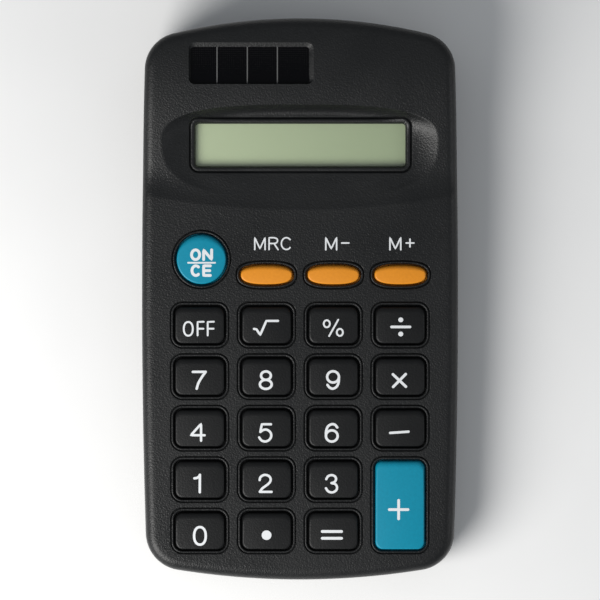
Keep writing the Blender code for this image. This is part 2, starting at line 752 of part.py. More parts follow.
def make_back_shell(builder):
    shell = builder.part(back_form("back_shell"), "back_shell", "case_black")
    builder.cut(shell, back_cavity("back_cavity", WALL))
    mouth = (-DOOR_HALF_WIDTH, DOOR_Y, -MM), (DOOR_HALF_WIDTH, LENGTH, DOOR_TOP_Z + DOOR_GAP)
    builder.cut(shell, block("door_mouth", *mouth))
    builder.add(shell, *bay_walls())
    posts = []
    low = FOOT_HEIGHT + WALL / 2
    foot_radius = COUNTERBORE_RADIUS + 0.8 * MM
    for i, (x, y) in enumerate(CASE_SCREWS):
        posts.append(rod(f"post_{i}", x, y, low, PARTING_Z - SHELL_GAP, BOSS_RADIUS))
        posts.append(rod(f"post_foot_{i}", x, y, low, COUNTERBORE_TOP_Z + MM, foot_radius))
    for i, (x, y) in enumerate(FEET):
        posts.append(rod(f"foot_{i}", x, y, 0, low, FOOT_RADII[0], 16, FOOT_RADII[1]))
    builder.add(shell, *posts)
    bores = []
    for i, (x, y) in enumerate(CASE_SCREWS):
        bores.append(rod(f"bore_{i}", x, y, -MM, PARTING_Z + MM, SCREW_SHANK_RADIUS + 0.25 * MM))
        bores.append(rod(f"counterbore_{i}", x, y, -MM, COUNTERBORE_TOP_Z, COUNTERBORE_RADIUS, 16))
    for bore in bores:
        builder.cut(shell, bore)
    tab_low = FOOT_HEIGHT + WALL - TAB_SUNK
    for side in (-1, 1):
        left, right = mirrored(side, TAB_X)
        low = left - 0.5 * MM, DOOR_Y - TAB_REACH - 0.3 * MM, tab_low - DOOR_GAP
        high = right + 0.5 * MM, DOOR_Y + MM, tab_low + TAB_THICKNESS + 1.5 * DOOR_GAP
        builder.cut(shell, block(f"tab_slot_{side}", low, high))


def make_door(builder):
    door = builder.part(back_form("battery_door"), "battery_door", "case_black")
    low = -DOOR_HALF_WIDTH + DOOR_GAP, DOOR_Y + DOOR_GAP, -MM
    high = DOOR_HALF_WIDTH - DOOR_GAP, LENGTH, DOOR_TOP_Z
    builder.boolean(door, block("door_region", low, high), "INTERSECT")
    builder.cut(door, back_cavity("door_cavity", WALL + 0.2 * MM))
    floor = FOOT_HEIGHT + WALL
    lip_low = floor + RAIL_THICKNESS + 2 * RAIL_GAP
    tab_low = floor - TAB_SUNK
    pieces = []
    for side in (-1, 1):
        left, right = mirrored(side, HOOK_POST_X)
        post = (left, RAIL_START_Y, floor - 0.3 * MM), (right, RAIL_END_Y, lip_low + 0.8 * MM)
        pieces.append(block(f"hook_post_{side}", *post))
        left, right = mirrored(side, HOOK_LIP_X)
        lip = (left, RAIL_START_Y + 0.2 * MM, lip_low), (right, RAIL_END_Y - 0.2 * MM, lip_low + 0.7 * MM)
        pieces.append(block(f"hook_lip_{side}", *lip))
        left, right = mirrored(side, TAB_X)
        tab = (left, DOOR_Y - TAB_REACH, tab_low), (right, DOOR_Y + MM, tab_low + TAB_THICKNESS)
        pieces.append(block(f"tab_{side}", *tab))
    builder.add(door, *pieces)
    grooves = []
    for i in range(5):
        y = GRIP_START_Y + i * GRIP_PITCH
        high = GRIP_HALF_WIDTH, y + GRIP_GROOVE, FOOT_HEIGHT + GRIP_DEPTH
        grooves.append(block(f"grip_{i}", (-GRIP_HALF_WIDTH, y, 0), high))
    arrow = [(-ARROW_HALF_WIDTH, ARROW_Y[0]), (ARROW_HALF_WIDTH, ARROW_Y[0]), (0, ARROW_Y[1])]
    grooves.append(slab("arrow", arrow, 0, FOOT_HEIGHT + GRIP_DEPTH))
    builder.cut(door, joined("grip_grooves", grooves))


# ---------------------------------------------------------------- display and solar cell


def make_display(builder):
    """Lens, polariser, two glasses and reflector, then the plate that holds them up."""
    frame = display_frame()
    low_edge = -LENS_HEIGHT / 2
    high_edge = LENS_HEIGHT / 2 - 0.3 * MM
    half = LENS_WIDTH / 2
    lens = rounded_box(LENS_WIDTH, LENS_HEIGHT, 0.8 * MM)
    top = -WINDOW_LEDGE - STACK_GAP
    lens = slab("display_window", lens, top - LENS_THICKNESS, top, frame)
    builder.part(lens, "display_window", "clear_plastic")
    top -= LENS_THICKNESS + STACK_GAP
    ledge = low_edge + CONTACT_LEDGE
    layers = (
        ("display_polariser", POLARISER_THICKNESS, half - 0.8 * MM, low_edge + 0.5 * MM, "display_green"),
        ("display_front_glass", GLASS_THICKNESS, half - 0.3 * MM, low_edge + 0.2 * MM, "glass"),
        ("display_rear_glass", GLASS_THICKNESS, half - 0.3 * MM, ledge, "glass"),
        ("display_reflector", POLARISER_THICKNESS, half - 0.8 * MM, ledge + 0.3 * MM, "steel"),
        ("display_retainer", RETAINER_THICKNESS, half + 1.9 * MM, ledge, "case_black"),
    )
    for name, thickness, half_width, low, material in layers:
        box = (-half_width, low, top - thickness), (half_width, high_edge, top)
        layer = builder.part(block(name, *box, frame), name, material)
        top -= thickness + STACK_GAP
    holes = []
    radius = STAKE_RADIUS + 0.1 * MM
    for side in (-1, 1):
        x = side * RETAINER_STAKE_X
        holes.append(rod(f"stake_hole_{side}", x, 0, -6 * MM, 0, radius, 10, frame=frame))
    builder.cut(layer, joined("stake_holes", holes))


def make_ribbon(builder):
    """Heat-sealed ribbon from the ledge of the front glass down to the top edge of the board."""
    glass_bottom = -WINDOW_LEDGE - 3 * STACK_GAP - LENS_THICKNESS - POLARISER_THICKNESS - GLASS_THICKNESS
    display = display_frame()
    start = display @ Vector((0, -LENS_HEIGHT / 2 + CONTACT_LEDGE - 0.3 * MM, glass_bottom - STACK_GAP))
    edge = display @ Vector((0, -LENS_HEIGHT / 2 - 0.3 * MM, glass_bottom - STACK_GAP))
    board = keypad_frame() @ Vector((0, BOARD_TOP_Y - 0.2 * MM, stack_levels()[2] + 0.35 * MM))
    end = keypad_frame() @ Vector((0, BOARD_TOP_Y - 2.2 * MM, stack_levels()[2] + 0.35 * MM))
    path = [start, edge]
    for i in range(1, 6):
        share = i / 6
        bow = Vector((0, math.sin(share * math.pi) * 0.9 * MM, 0))
        path.append(edge.lerp(board, smooth(share)) - bow)
    path += [board, end]
    data = bpy.data.meshes.new("display_ribbon")
    half = 19 * MM
    verts = [(side * half, p.y, p.z) for p in path for side in (-1, 1)]
    faces = [(2 * i, 2 * i + 1, 2 * i + 3, 2 * i + 2) for i in range(len(path) - 1)]
    data.from_pydata(verts, [], faces)
    ribbon = bpy.data.objects.new("display_ribbon", data)
    thicken = ribbon.modifiers.new("Solidify", "SOLIDIFY")
    thicken.thickness = 0.2 * MM
    thicken.offset = 1
    builder.part(ribbon, "display_ribbon", "ribbon_amber")


def make_solar(builder):
    frame = solar_frame()
    outline = rounded_box(
        SOLAR_WIDTH + 2 * CELL_MARGIN - 0.3 * MM, SOLAR_HEIGHT + 2 * CELL_MARGIN - 0.3 * MM, SOLAR_CORNER
    )
    top = -SOLAR_DEPTH - STACK_GAP
    builder.part(slab("solar_cell", outline, top - CELL_THICKNESS, top, frame), "solar_cell", "solar_dark")


# ---------------------------------------------------------------- keypad sheet, board and its parts


def make_sheet(builder):
    """Silicone sheet with one hollow dome under each key."""
    frame = keypad_frame()
    sheet_top, sheet_bottom = stack_levels()[:2]
    height = SHEET_TOP_Y - BOARD_BOTTOM_Y
    middle = (SHEET_TOP_Y + BOARD_BOTTOM_Y) / 2
    outline = rounded_box(2 * BOARD_HALF_WIDTH, height, BOARD_CORNER)
    sheet = slab("dome_sheet", outline, sheet_bottom, sheet_top, frame @ Matrix.Translation((0, middle, 0)))
    builder.part(sheet, "dome_sheet", "rubber_grey")
    domes, hollows = [], []
    for i, (x, y) in enumerate(dome_places()):
        low, high = sheet_top - 0.4 * MM, sheet_top + DOME_HEIGHT
        domes.append(rod(f"dome_{i}", x, y, low, high, DOME_BASE, 8, DOME_TOP, frame))
        low, high = sheet_bottom - MM, sheet_top + DOME_HEIGHT - DOME_WALL
        radii = DOME_BASE - 0.1 * MM, DOME_TOP - DOME_WALL
        hollows.append(rod(f"hollow_{i}", x, y, low, high, radii[0], 8, radii[1], frame))
    builder.add(sheet, joined("domes", domes))
    builder.cut(sheet, joined("dome_hollows", hollows))
    passages = []
    radius = BOARD_BOSS_RADIUS + 0.25 * MM
    for i, (x, y) in enumerate(board_screw_places()[2:]):
        passages.append(rod(f"sheet_hole_{i}", x, y, -8 * MM, 0, radius, 10, frame=frame))
    builder.cut(sheet, joined("sheet_holes", passages))


def make_board(builder):
    frame = keypad_frame()
    top, bottom = stack_levels()[2:]
    middle = (BOARD_TOP_Y + BOARD_BOTTOM_Y) / 2
    outline = rounded_box(2 * BOARD_HALF_WIDTH, BOARD_TOP_Y - BOARD_BOTTOM_Y, BOARD_CORNER)
    board = slab("circuit_board", outline, bottom, top, frame @ Matrix.Translation((0, middle, 0)))
    builder.part(board, "circuit_board", "board_brown")
    holes = []
    radius = BOARD_SCREW_SHANK + 0.35 * MM
    for i, (x, y) in enumerate(board_screw_places()):
        holes.append(rod(f"board_hole_{i}", x, y, bottom - MM, top + MM, radius, 10, frame=frame))
    builder.cut(board, joined("board_holes", holes))


def make_components(builder):
    """Chip cover, capacitor, resistor and diode on the board's underside."""
    under = keypad_frame() @ Matrix.Translation((0, 0, stack_levels()[3] - TOUCH_GAP))
    hanging = Matrix.Rotation(math.pi, 4, "X")
    lying = Matrix.Rotation(math.pi / 2, 4, "Y")
    blob = ((0, 1.1), (1.8, 1.0), (3.4, 0.65), (4.4, 0.25), (4.6, 0.0), (0, 0))
    can = ((0, 5.0), (1.7, 5.0), (2.0, 4.7), (2.0, 0.3), (1.7, 0.0), (0, 0))
    components = [
        ("chip_cover", blob, 16, (2.0, 12.0, 0.0), hanging, "epoxy_black"),
        ("capacitor", can, COARSE, (-18.0, 14.0, -2.1), lying, "epoxy_black"),
        ("resistor", bead(0.6, 0.8, 3.2), 10, (14.0, 17.0, -0.82), lying, "component"),
        ("diode", bead(0.5, 0.7, 2.8), 10, (14.0, 13.5, -0.72), lying, "epoxy_black"),
    ]
    for name, profile, steps, place, turn, material in components:
        frame = under @ Matrix.Translation([v * MM for v in place]) @ turn
        builder.part(turned(name, [(r * MM, z * MM) for r, z in profile], steps, frame), name, material)


def bead(waist, bulge, length):
    """Profile of a small axial component, thicker at both ends than between them."""
    ends = (0, length), (bulge, length), (bulge, length - 0.7), (waist, length - 0.9)
    return [*ends, (waist, 0.9), (bulge, 0.7), (bulge, 0), (0, 0)]


# ---------------------------------------------------------------- battery, contacts and wires


def battery_centre_z():
    return FOOT_HEIGHT + WALL + BATTERY_CLEARANCE + BATTERY_RADIUS


def make_battery(builder):
    end = Matrix.Translation((BATTERY_LEFT_X, BATTERY_Y, battery_centre_z()))
    along_x = end @ Matrix.Rotation(math.pi / 2, 4, "Y")
    r, length = BATTERY_RADIUS, BATTERY_BODY
    edge = 0.5 * MM
    profile = (
        (0, length + BATTERY_NUB),
        (BATTERY_NUB_RADIUS - 0.2 * MM, length + BATTERY_NUB),
        (BATTERY_NUB_RADIUS, length + BATTERY_NUB - 0.2 * MM),
        (BATTERY_NUB_RADIUS, length),
        (r - edge, length),
        (r, length - edge),
        (r, edge),
        (r - edge, 0),
        (0, 0),
    )
    builder.part(turned("battery", profile, FINE, along_x), "battery", "battery_jacket")


def make_contacts(builder):
    """A plate at each end of the bay, and the tapered spring on the left one."""
    z = battery_centre_z()
    nub_end = BATTERY_LEFT_X + BATTERY_BODY + BATTERY_NUB
    for name, x in (("positive_contact", nub_end + TOUCH_GAP), ("negative_contact", SPRING_PLATE_X)):
        low = x, BATTERY_Y - CONTACT_HALF_HEIGHT, CONTACT_LOW_Z
        high = x + CONTACT_THICKNESS, BATTERY_Y + CONTACT_HALF_HEIGHT, z + CONTACT_HALF_HEIGHT
        builder.part(block(name, low, high), name, "steel")
    start = SPRING_PLATE_X + CONTACT_THICKNESS + TOUCH_GAP + SPRING_WIRE
    end = BATTERY_LEFT_X - TOUCH_GAP - SPRING_WIRE
    count = int(SPRING_TURNS * 12)
    points = []
    for i in range(count + 1):
        share = i / count
        radius = SPRING_RADII[0] + (SPRING_RADII[1] - SPRING_RADII[0]) * share
        angle = 2 * math.pi * SPRING_TURNS * share
        x = start + (end - start) * smooth(share)
        points.append((x, BATTERY_Y + radius * math.cos(angle), z + radius * math.sin(angle)))
    builder.part(tube("battery_spring", points, SPRING_WIRE), "battery_spring", "steel")


def tube(name, points, radius):
    data = bpy.data.curves.new(name, "CURVE")
    data.dimensions = "3D"
    data.bevel_depth = radius
    data.bevel_resolution = 1
    data.use_fill_caps = True
    spline = data.splines.new("POLY")
    spline.points.add(len(points) - 1)
    for point, co in zip(spline.points, points):
        point.co = (*co, 1)
    return bpy.data.objects.new(name, data)


def smooth_path(knots, per_span=5):
    """Points on a Catmull-Rom curve through the knots."""
    ends = [knots[0] * 2 - knots[1], *knots, knots[-1] * 2 - knots[-2]]
    points = []
    for a, b, c, d in zip(ends, ends[1:], ends[2:], ends[3:]):
        for i in range(per_span):
            t = i / per_span
            square, cube = a * 2 - b * 5 + c * 4 - d, b * 3 - a - c * 3 + d
            points.append((b * 2 + (c - a) * t + square * t**2 + cube * t**3) / 2)
    return [*points, knots[-1]]


def make_wires(builder):
    """Two leads from the solar cell and two from the battery contacts, all to the board's top edge."""
    frame = keypad_frame()
    under = stack_levels()[3] - 0.45 * MM
    contact_z = battery_centre_z() / MM
    cell_bottom = -SOLAR_DEPTH - STACK_GAP - CELL_THICKNESS - 0.4 * MM
    solar = solar_frame()

    def cell(x, y):
        return solar @ Vector((x * MM, y * MM, cell_bottom))

    def board(x, y):
        return frame @ Vector((x * MM, y * MM, under))

    def at(x, y, height):
        return Vector((x * MM, y * MM, height * MM))

    left = [cell(-11.5, 1.5), cell(-13.5, 1.0), at(-27.6, 46.0, 16.6), at(-28.4, 38.0, 14.6)]
    left += [at(-28.0, 30.0, 11.0), at(-25.4, 25.4, 8.6), board(-22.5, 22.6), board(-21.0, 21.4)]
    right = [cell(11.5, 3.2), cell(13.6, 3.4), at(12.0, 52.4, 16.9), at(22.0, 51.2, 16.2)]
    right += [at(28.2, 46.0, 15.2), at(28.6, 38.0, 13.4), at(28.0, 30.0, 10.6), at(25.4, 25.2, 8.4)]
    right += [board(22.5, 22.4), board(21.0, 21.2)]
    red = [at(26.0, 42.6, contact_z + 4.1), at(26.2, 40.4, contact_z + 3.0), at(27.0, 36.8, 9.6)]
    red += [at(26.6, 31.0, 7.4), at(22.0, 27.0, 6.4), board(17.5, 22.4), board(16.6, 21.2)]
    black = [at(-29.4, 42.6, contact_z + 4.1), at(-29.0, 40.2, contact_z + 3.0), at(-28.0, 36.6, 9.4)]
    black += [at(-26.6, 31.0, 7.2), at(-22.0, 27.0, 6.2), board(-17.5, 22.4), board(-16.6, 21.2)]
    wires = (
        ("solar_lead_left", left, "wire_black"),
        ("solar_lead_right", right, "wire_red"),
        ("battery_lead_positive", red, "wire_red"),
        ("battery_lead_negative", black, "wire_black"),
    )
    for name, knots, material in wires:
        builder.part(tube(name, smooth_path(knots, 3), 0.35 * MM), name, material)


# ---------------------------------------------------------------- screws


def make_screws(builder):
    """Pan-head self-tapping screws with a cross recess left to the finished look."""

    def profile(head, height, shank, length):
        return (
            (0, 0),
            (0.55 * head, 0),
            (head, -0.45 * height),
            (head, -height),
            (shank, -height),
            (shank, shank - height - length),
            (0, -height - length),
        )

    up = Matrix.Rotation(math.pi, 4, "X")
    for i, (x, y) in enumerate(CASE_SCREWS):
        bearing = COUNTERBORE_TOP_Z - TOUCH_GAP
        points = profile(SCREW_HEAD_RADIUS, SCREW_HEAD_HEIGHT, SCREW_SHANK_RADIUS, SCREW_LENGTH)
        frame = Matrix.Translation((x, y, bearing - SCREW_HEAD_HEIGHT)) @ up
        screw = turned(f"case_screw_{i + 1}", points, COARSE, frame)
        builder.part(screw, f"case_screw_{i + 1}", "steel")
    keypad = keypad_frame()
    for i, (x, y) in enumerate(board_screw_places()):
        bearing = stack_levels()[3] - TOUCH_GAP
        points = profile(BOARD_SCREW_HEAD, BOARD_SCREW_HEAD_HEIGHT, BOARD_SCREW_SHANK, BOARD_SCREW_LENGTH)
        frame = keypad @ Matrix.Translation((x, y, bearing - BOARD_SCREW_HEAD_HEIGHT)) @ up
        screw = turned(f"board_screw_{i + 1}", points, 10, frame)
        builder.part(screw, f"board_screw_{i + 1}", "steel")


def main():
    clear_scene()
    builder = Builder()
    make_front_shell(builder)
    make_back_shell(builder)
    make_door(builder)
    make_keys(builder)
    make_display(builder)
    make_ribbon(builder)
    make_solar(builder)
    make_sheet(builder)
    make_board(builder)
    make_components(builder)
    make_battery(builder)
    make_contacts(builder)
    make_wires(builder)
    make_screws(builder)


main()
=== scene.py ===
"""Looks of the pocket calculator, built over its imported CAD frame.

Lengths below are in millimetres in the row frame: +X right, +Y towards the display end, +Z out of the face.
"""

import json
import math

import bmesh
import bpy
import numpy as np
from mathutils import Matrix, Vector
from mathutils.geometry import delaunay_2d_cdt
from mathutils.kdtree import KDTree


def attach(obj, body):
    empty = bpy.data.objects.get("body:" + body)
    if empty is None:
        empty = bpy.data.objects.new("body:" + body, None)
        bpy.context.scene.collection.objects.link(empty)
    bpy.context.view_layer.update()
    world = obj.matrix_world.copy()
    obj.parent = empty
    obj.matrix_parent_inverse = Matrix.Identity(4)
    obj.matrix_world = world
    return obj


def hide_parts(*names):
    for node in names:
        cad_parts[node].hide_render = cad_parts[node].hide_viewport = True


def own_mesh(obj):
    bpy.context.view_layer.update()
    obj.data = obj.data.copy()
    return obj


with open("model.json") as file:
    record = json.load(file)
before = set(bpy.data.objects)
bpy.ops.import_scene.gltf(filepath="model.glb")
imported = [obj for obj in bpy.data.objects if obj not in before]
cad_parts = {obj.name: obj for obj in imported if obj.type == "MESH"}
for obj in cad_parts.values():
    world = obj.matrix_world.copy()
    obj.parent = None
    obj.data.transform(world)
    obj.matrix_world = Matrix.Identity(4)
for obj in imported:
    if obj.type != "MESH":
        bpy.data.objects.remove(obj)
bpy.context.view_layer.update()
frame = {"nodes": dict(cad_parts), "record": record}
NODES = frame["nodes"]

MM = 0.001

# Case.
LENGTH, WIDTH = 115.0, 65.0
TOP_ARC, BOTTOM_ARC, SIDE_ARC, CORNER = 110.0, 160.0, 1500.0, 7.8
WALL = 1.6
DRAFT = 0.2
EDGE_ROUND = 2.0
OUTLINE_SNAP = 1e-4  # keeps points that lie on the outline together where the rounded edge is steepest
PARTING_Z, SHELL_GAP = 7.5, 0.05
FOOT_HEIGHT = 0.6
KEYPAD_Z, KEYPAD_TILT = 14.3, math.radians(3.0)

# Head: a valley along an arc, a rise, then a roll to the end.
VALLEY_Y, VALLEY_ARC, VALLEY_SLOPE, VALLEY_RUN = 18.4, 165.0, -0.10, 7.0
HEAD_SLOPE, HEAD_LEVEL_RUN = 0.19, 18.0
ROLL_START_Y, ROLL_END_SLOPE = 38.0, -0.14
SCOOP_Y, SCOOP_HALF_WIDTH = 32.0, 28.0
SCOOP_UPPER, SCOOP_LOWER = (7.7, 2.9), (11.4, 2.7)
SCOOP_WALL, SCOOP_SOFT_WALL = 0.26, 0.5
FLOOR_TILT, FLOOR_START_Y, FLOOR_DROP = math.radians(3.5), 21.2, 0.75

# Display and solar cell.
WINDOW = (0.1, 31.6, 42.8, 8.7, 0.7)
SOLAR_MOUTH = (-9.95, 48.0, 25.3, 8.4, 1.2)
SOLAR_CELL = (-10.15, 47.65, 24.0, 7.3, 0.6)
SOLAR_DEPTH = 0.8
CELL_LINES, CELL_LINE_HALF_WIDTH = (-16.85, -10.7, -4.6), 0.11

# Keys.
COLUMN_PITCH, ROW_PITCH = 13.64, 10.55
FIRST_ROW_Y, OVAL_KEY_Y = -5.1, 5.15
ROUND_KEY_X, ROUND_KEY_Y = -20.1, 8.3
KEY_CLEARANCE = 0.3
KEY_WIDTH, KEY_HEIGHT, KEY_CORNER = 10.05, 7.55, 1.45
ROUND_KEY = 10.1
OVAL_WIDTH, OVAL_HEIGHT, OVAL_POWER = 10.5, 3.9, 2.6
KEY_PROUD = 0.9
KEY_ROUND = 0.3
KEY_BROW_DEPTH, KEY_BROW_DROP, KEY_BROW_SHARE = 1.2, 0.85, 0.22
KEY_CROWN = 0.25
FLANGE_SECTION = ((0.65, -2.35), (0.8, -2.25), (0.8, -1.75), (0.7, -1.65), (0.0, -1.65))

# Colours, light and camera, whose places are in metres.
CASE_COLOUR, CASE_SPECULAR = (0.0054, 0.0059, 0.0064), 0.39
KEY_COLOUR = (0.0048, 0.0051, 0.0055)
KEY_LIGHT, KEY_LIGHT_SIZE, KEY_LIGHT_WATTS = (-0.23, -0.2, 0.25), 0.28, 1.85
FILL_LIGHT, FILL_LIGHT_SIZE, FILL_LIGHT_WATTS = (0.42, -0.06, 0.24), 0.2, 0.22
KEY_LIGHT_TINT, WORLD_TINT = (1.0, 0.985, 0.96), (0.9, 0.95, 1.0)
WORLD_STRENGTH = 0.28
CAMERA_LENS, CAMERA_HEIGHT = 234, 0.81


# ---------------------------------------------------------------- surface of the face


def smooth(t):
    t = np.clip(t, 0.0, 1.0)
    return t * t * (3 - 2 * t)


def keypad_z(y):
    """Height of the keypad's plane."""
    return KEYPAD_Z + y * math.tan(KEYPAD_TILT)


def head_z(x, y):
    """Height of the head without its scoop: down into the valley, up the slope and over the end."""
    bulge = x * x / (2 * VALLEY_ARC)
    edge = VALLEY_Y + bulge
    past = np.maximum(0.0, y - edge)
    share = np.minimum(1.0, past / VALLEY_RUN)
    risen = VALLEY_RUN * (share**3 - share**4 / 2) + np.maximum(0.0, past - VALLEY_RUN)
    height = keypad_z(edge) + VALLEY_SLOPE * past + (HEAD_SLOPE - VALLEY_SLOPE) * risen
    height = height + bulge * (HEAD_SLOPE - math.tan(KEYPAD_TILT)) * smooth(past / HEAD_LEVEL_RUN)
    rolled = np.maximum(0.0, y - ROLL_START_Y)
    bend = (HEAD_SLOPE - ROLL_END_SLOPE) / (LENGTH / 2 - ROLL_START_Y)
    return height - bend * rolled * rolled / 2


def floor_z(y):
    """Height of the scoop's floor."""
    return keypad_z(VALLEY_Y) - FLOOR_DROP + (y - FLOOR_START_Y) * math.tan(FLOOR_TILT)


def scoop_form(upper):
    """The scoop's half height and the power of its outline, above or below its middle."""
    return [np.where(upper, high, low) for high, low in zip(SCOOP_UPPER, SCOOP_LOWER)]


def scoop_reach(x, y):
    """1 on the scoop's rim, less inside."""
    height, power = scoop_form(y > SCOOP_Y)
    across = np.abs(x / SCOOP_HALF_WIDTH) ** power
    along = np.abs((y - SCOOP_Y) / height) ** power
    return (across + along) ** (1 / power)


def scoop_share(x, y):
    """0 outside the scoop and 1 on its floor, with a crisp rim that softens below the display."""
    soft = smooth((SCOOP_Y - y) / 8) * smooth((24 - np.abs(x)) / 12)
    wall = SCOOP_WALL + (SCOOP_SOFT_WALL - SCOOP_WALL) * soft
    into = np.clip((1 - scoop_reach(x, y)) / wall, 0.0, 1.0)
    return (1 - soft) * (1 - (1 - into) ** 2) + soft * smooth(into)


def valley_edge(x):
    """Where the keypad ends and the valley begins."""
    return VALLEY_Y + x * x / (2 * VALLEY_ARC)


def broad_face(x, y):
    """The face before its edge, grooves and frames."""
    head = head_z(x, y)
    head = head - np.maximum(0.0, head - floor_z(y)) * scoop_share(x, y)
    return np.where(y < valley_edge(x), keypad_z(y), head)


# ---------------------------------------------------------------- outlines


def arc(centre, radius, start, end, steps):
    angles = np.linspace(start, end, steps + 1)
    return np.column_stack((centre[0] + radius * np.cos(angles), centre[1] + radius * np.sin(angles)))


def corner_centre(end_centre_y, end_radius, sign):
    side_x = WIDTH / 2 - SIDE_ARC
    a, b = SIDE_ARC - CORNER, end_radius - CORNER
    apart = math.hypot(side_x, end_centre_y)
    along = (a * a - b * b + apart * apart) / (2 * apart)
    off = math.sqrt(a * a - along * along)
    toward = np.array((-side_x, end_centre_y)) / apart
    across = np.array((-toward[1], toward[0])) * sign
    return np.array((side_x, 0.0)) + toward * along + across * off


TOP_CENTRE = np.array((0.0, LENGTH / 2 - TOP_ARC))
BOTTOM_CENTRE = np.array((0.0, BOTTOM_ARC - LENGTH / 2))
SIDE_CENTRE = np.array((WIDTH / 2 - SIDE_ARC, 0.0))
UPPER_CORNER = corner_centre(TOP_CENTRE[1], TOP_ARC, 1)
LOWER_CORNER = corner_centre(BOTTOM_CENTRE[1], BOTTOM_ARC, -1)


def heading(centre, point):
    return math.atan2(point[1] - centre[1], point[0] - centre[0])


def case_outline(inset, corner_steps=24, end_steps=72, side_steps=140):
    """Anticlockwise outline of the case, moved inwards by inset."""
    low, high = heading(SIDE_CENTRE, LOWER_CORNER), heading(SIDE_CENTRE, UPPER_CORNER)
    top, bottom = heading(TOP_CENTRE, UPPER_CORNER), heading(BOTTOM_CENTRE, LOWER_CORNER)
    right = np.vstack(
        (
            arc(LOWER_CORNER, CORNER - inset, bottom, low, corner_steps),
            arc(SIDE_CENTRE, SIDE_ARC - inset, low, high, side_steps)[1:-1],
            arc(UPPER_CORNER, CORNER - inset, high, top, corner_steps),
        )
    )
    upper = arc(TOP_CENTRE, TOP_ARC - inset, top, math.pi - top, end_steps)[1:-1]
    lower = arc(BOTTOM_CENTRE, BOTTOM_ARC - inset, -math.pi - bottom, bottom, end_steps)[1:-1]
    return np.vstack((right, upper, right[::-1] * (-1, 1), lower))


def case_inset(x, y):
    """How far a point is inside the case's outline."""
    x = np.abs(x)
    side = SIDE_ARC - np.hypot(x - SIDE_CENTRE[0], y)
    top = TOP_ARC - np.hypot(x, y - TOP_CENTRE[1])
    bottom = BOTTOM_ARC - np.hypot(x, y - BOTTOM_CENTRE[1])
    inset = np.minimum(side, np.minimum(top, bottom))
    for corner, end_centre in ((UPPER_CORNER, TOP_CENTRE), (LOWER_CORNER, BOTTOM_CENTRE)):
        sides = sorted((heading(SIDE_CENTRE, corner), heading(end_centre, corner)))
        angle = np.arctan2(y - corner[1], x - corner[0])
        in_corner = (angle > sides[0]) & (angle < sides[1])
        inset = np.where(in_corner, CORNER - np.hypot(x - corner[0], y - corner[1]), inset)
    return inset


def rounded_box(width, height, corner, step=0.25):
    """Anticlockwise rounded rectangle round the origin, with points about a step apart."""
    x, y = width / 2 - corner, height / 2 - corner
    parts = []
    turns = max(6, round(corner * math.pi / 2 / step))
    for quarter, (sx, sy) in enumerate(((1, 1), (-1, 1), (-1, -1), (1, -1))):
        start = quarter * math.pi / 2
        corner_points = arc((sx * x, sy * y), corner, start, start + math.pi / 2, turns)
        parts.append(corner_points)
        flat = 2 * (x if quarter % 2 == 0 else y)
        next_corner = ((-sx * x, sy * y), (sx * x, -sy * y))[quarter % 2]
        outwards = ((0, 1), (-1, 0), (0, -1), (1, 0))[quarter]
        end = np.array(next_corner) + corner * np.array(outwards)
        count = max(1, round(flat / (2.5 * step)))
        if flat > 1e-6:
            shares = np.linspace(0, 1, count + 1)[1:-1, None]
            parts.append(corner_points[-1] * (1 - shares) + end * shares)
    return np.vstack(parts)


def super_points(angles, half_width, half_height, power):
    """Points of a superellipse round the origin; its sizes and power may differ from angle to angle."""
    c, s = np.cos(angles), np.sin(angles)
    x = half_width * np.sign(c) * np.abs(c) ** (2 / power)
    y = half_height * np.sign(s) * np.abs(s) ** (2 / power)
    return np.column_stack((x, y))


def super_oval(width, height, power, count):
    angles = 2 * np.pi * (np.arange(count) + 0.5) / count
    return super_points(angles, width / 2, height / 2, power)


def box_distance(x, y, width, height, corner):
    """Signed distance to a rounded rectangle round the origin, positive outside."""
    dx = np.abs(x) - (width / 2 - corner)
    dy = np.abs(y) - (height / 2 - corner)
    outside = np.hypot(np.maximum(dx, 0), np.maximum(dy, 0))
    return outside + np.minimum(np.maximum(dx, dy), 0) - corner


def from_box(box, x, y):
    """Signed distance to a box given as (x, y, width, height, corner)."""
    cx, cy, width, height, corner = box
    return box_distance(x - cx, y - cy, width, height, corner)


def oval_distance(x, y, width, height, power):
    """Nearly the signed distance to a superellipse."""
    u, v = np.abs(x) / (width / 2), np.abs(y) / (height / 2)
    value = (u**power + v**power) ** (1 / power)
    du = u ** (power - 1) * np.maximum(value, 1e-9) ** (1 - power) / (width / 2)
    dv = v ** (power - 1) * np.maximum(value, 1e-9) ** (1 - power) / (height / 2)
    return (value - 1) / np.maximum(np.hypot(du, dv), 1e-9)


# ---------------------------------------------------------------- keys' places


def key_layout():
    """Every key as (name, shape, x, y along the keypad, width, height)."""
    columns = [(i - 1.5) * COLUMN_PITCH for i in range(4)]
    rows = [FIRST_ROW_Y - i * ROW_PITCH for i in range(5)]
    names = (
        ("off", "square_root", "percent", "divide"),
        ("7", "8", "9", "multiply"),
        ("4", "5", "6", "minus"),
        ("1", "2", "3", None),
        ("0", "point", "equals", None),
    )
    keys = [("on_ce", "round", ROUND_KEY_X, ROUND_KEY_Y, ROUND_KEY, ROUND_KEY)]
    for name, x in zip(("mrc", "m_minus", "m_plus"), columns[1:]):
        keys.append((name, "oval", x, OVAL_KEY_Y, OVAL_WIDTH, OVAL_HEIGHT))
    for y, row in zip(rows, names):
        for x, name in zip(columns, row):
            if name is not None:
                keys.append((name, "box", x, y, KEY_WIDTH, KEY_HEIGHT))
    keys.append(("plus", "box", columns[3], (rows[3] + rows[4]) / 2, KEY_WIDTH, KEY_HEIGHT + ROW_PITCH))
    return keys


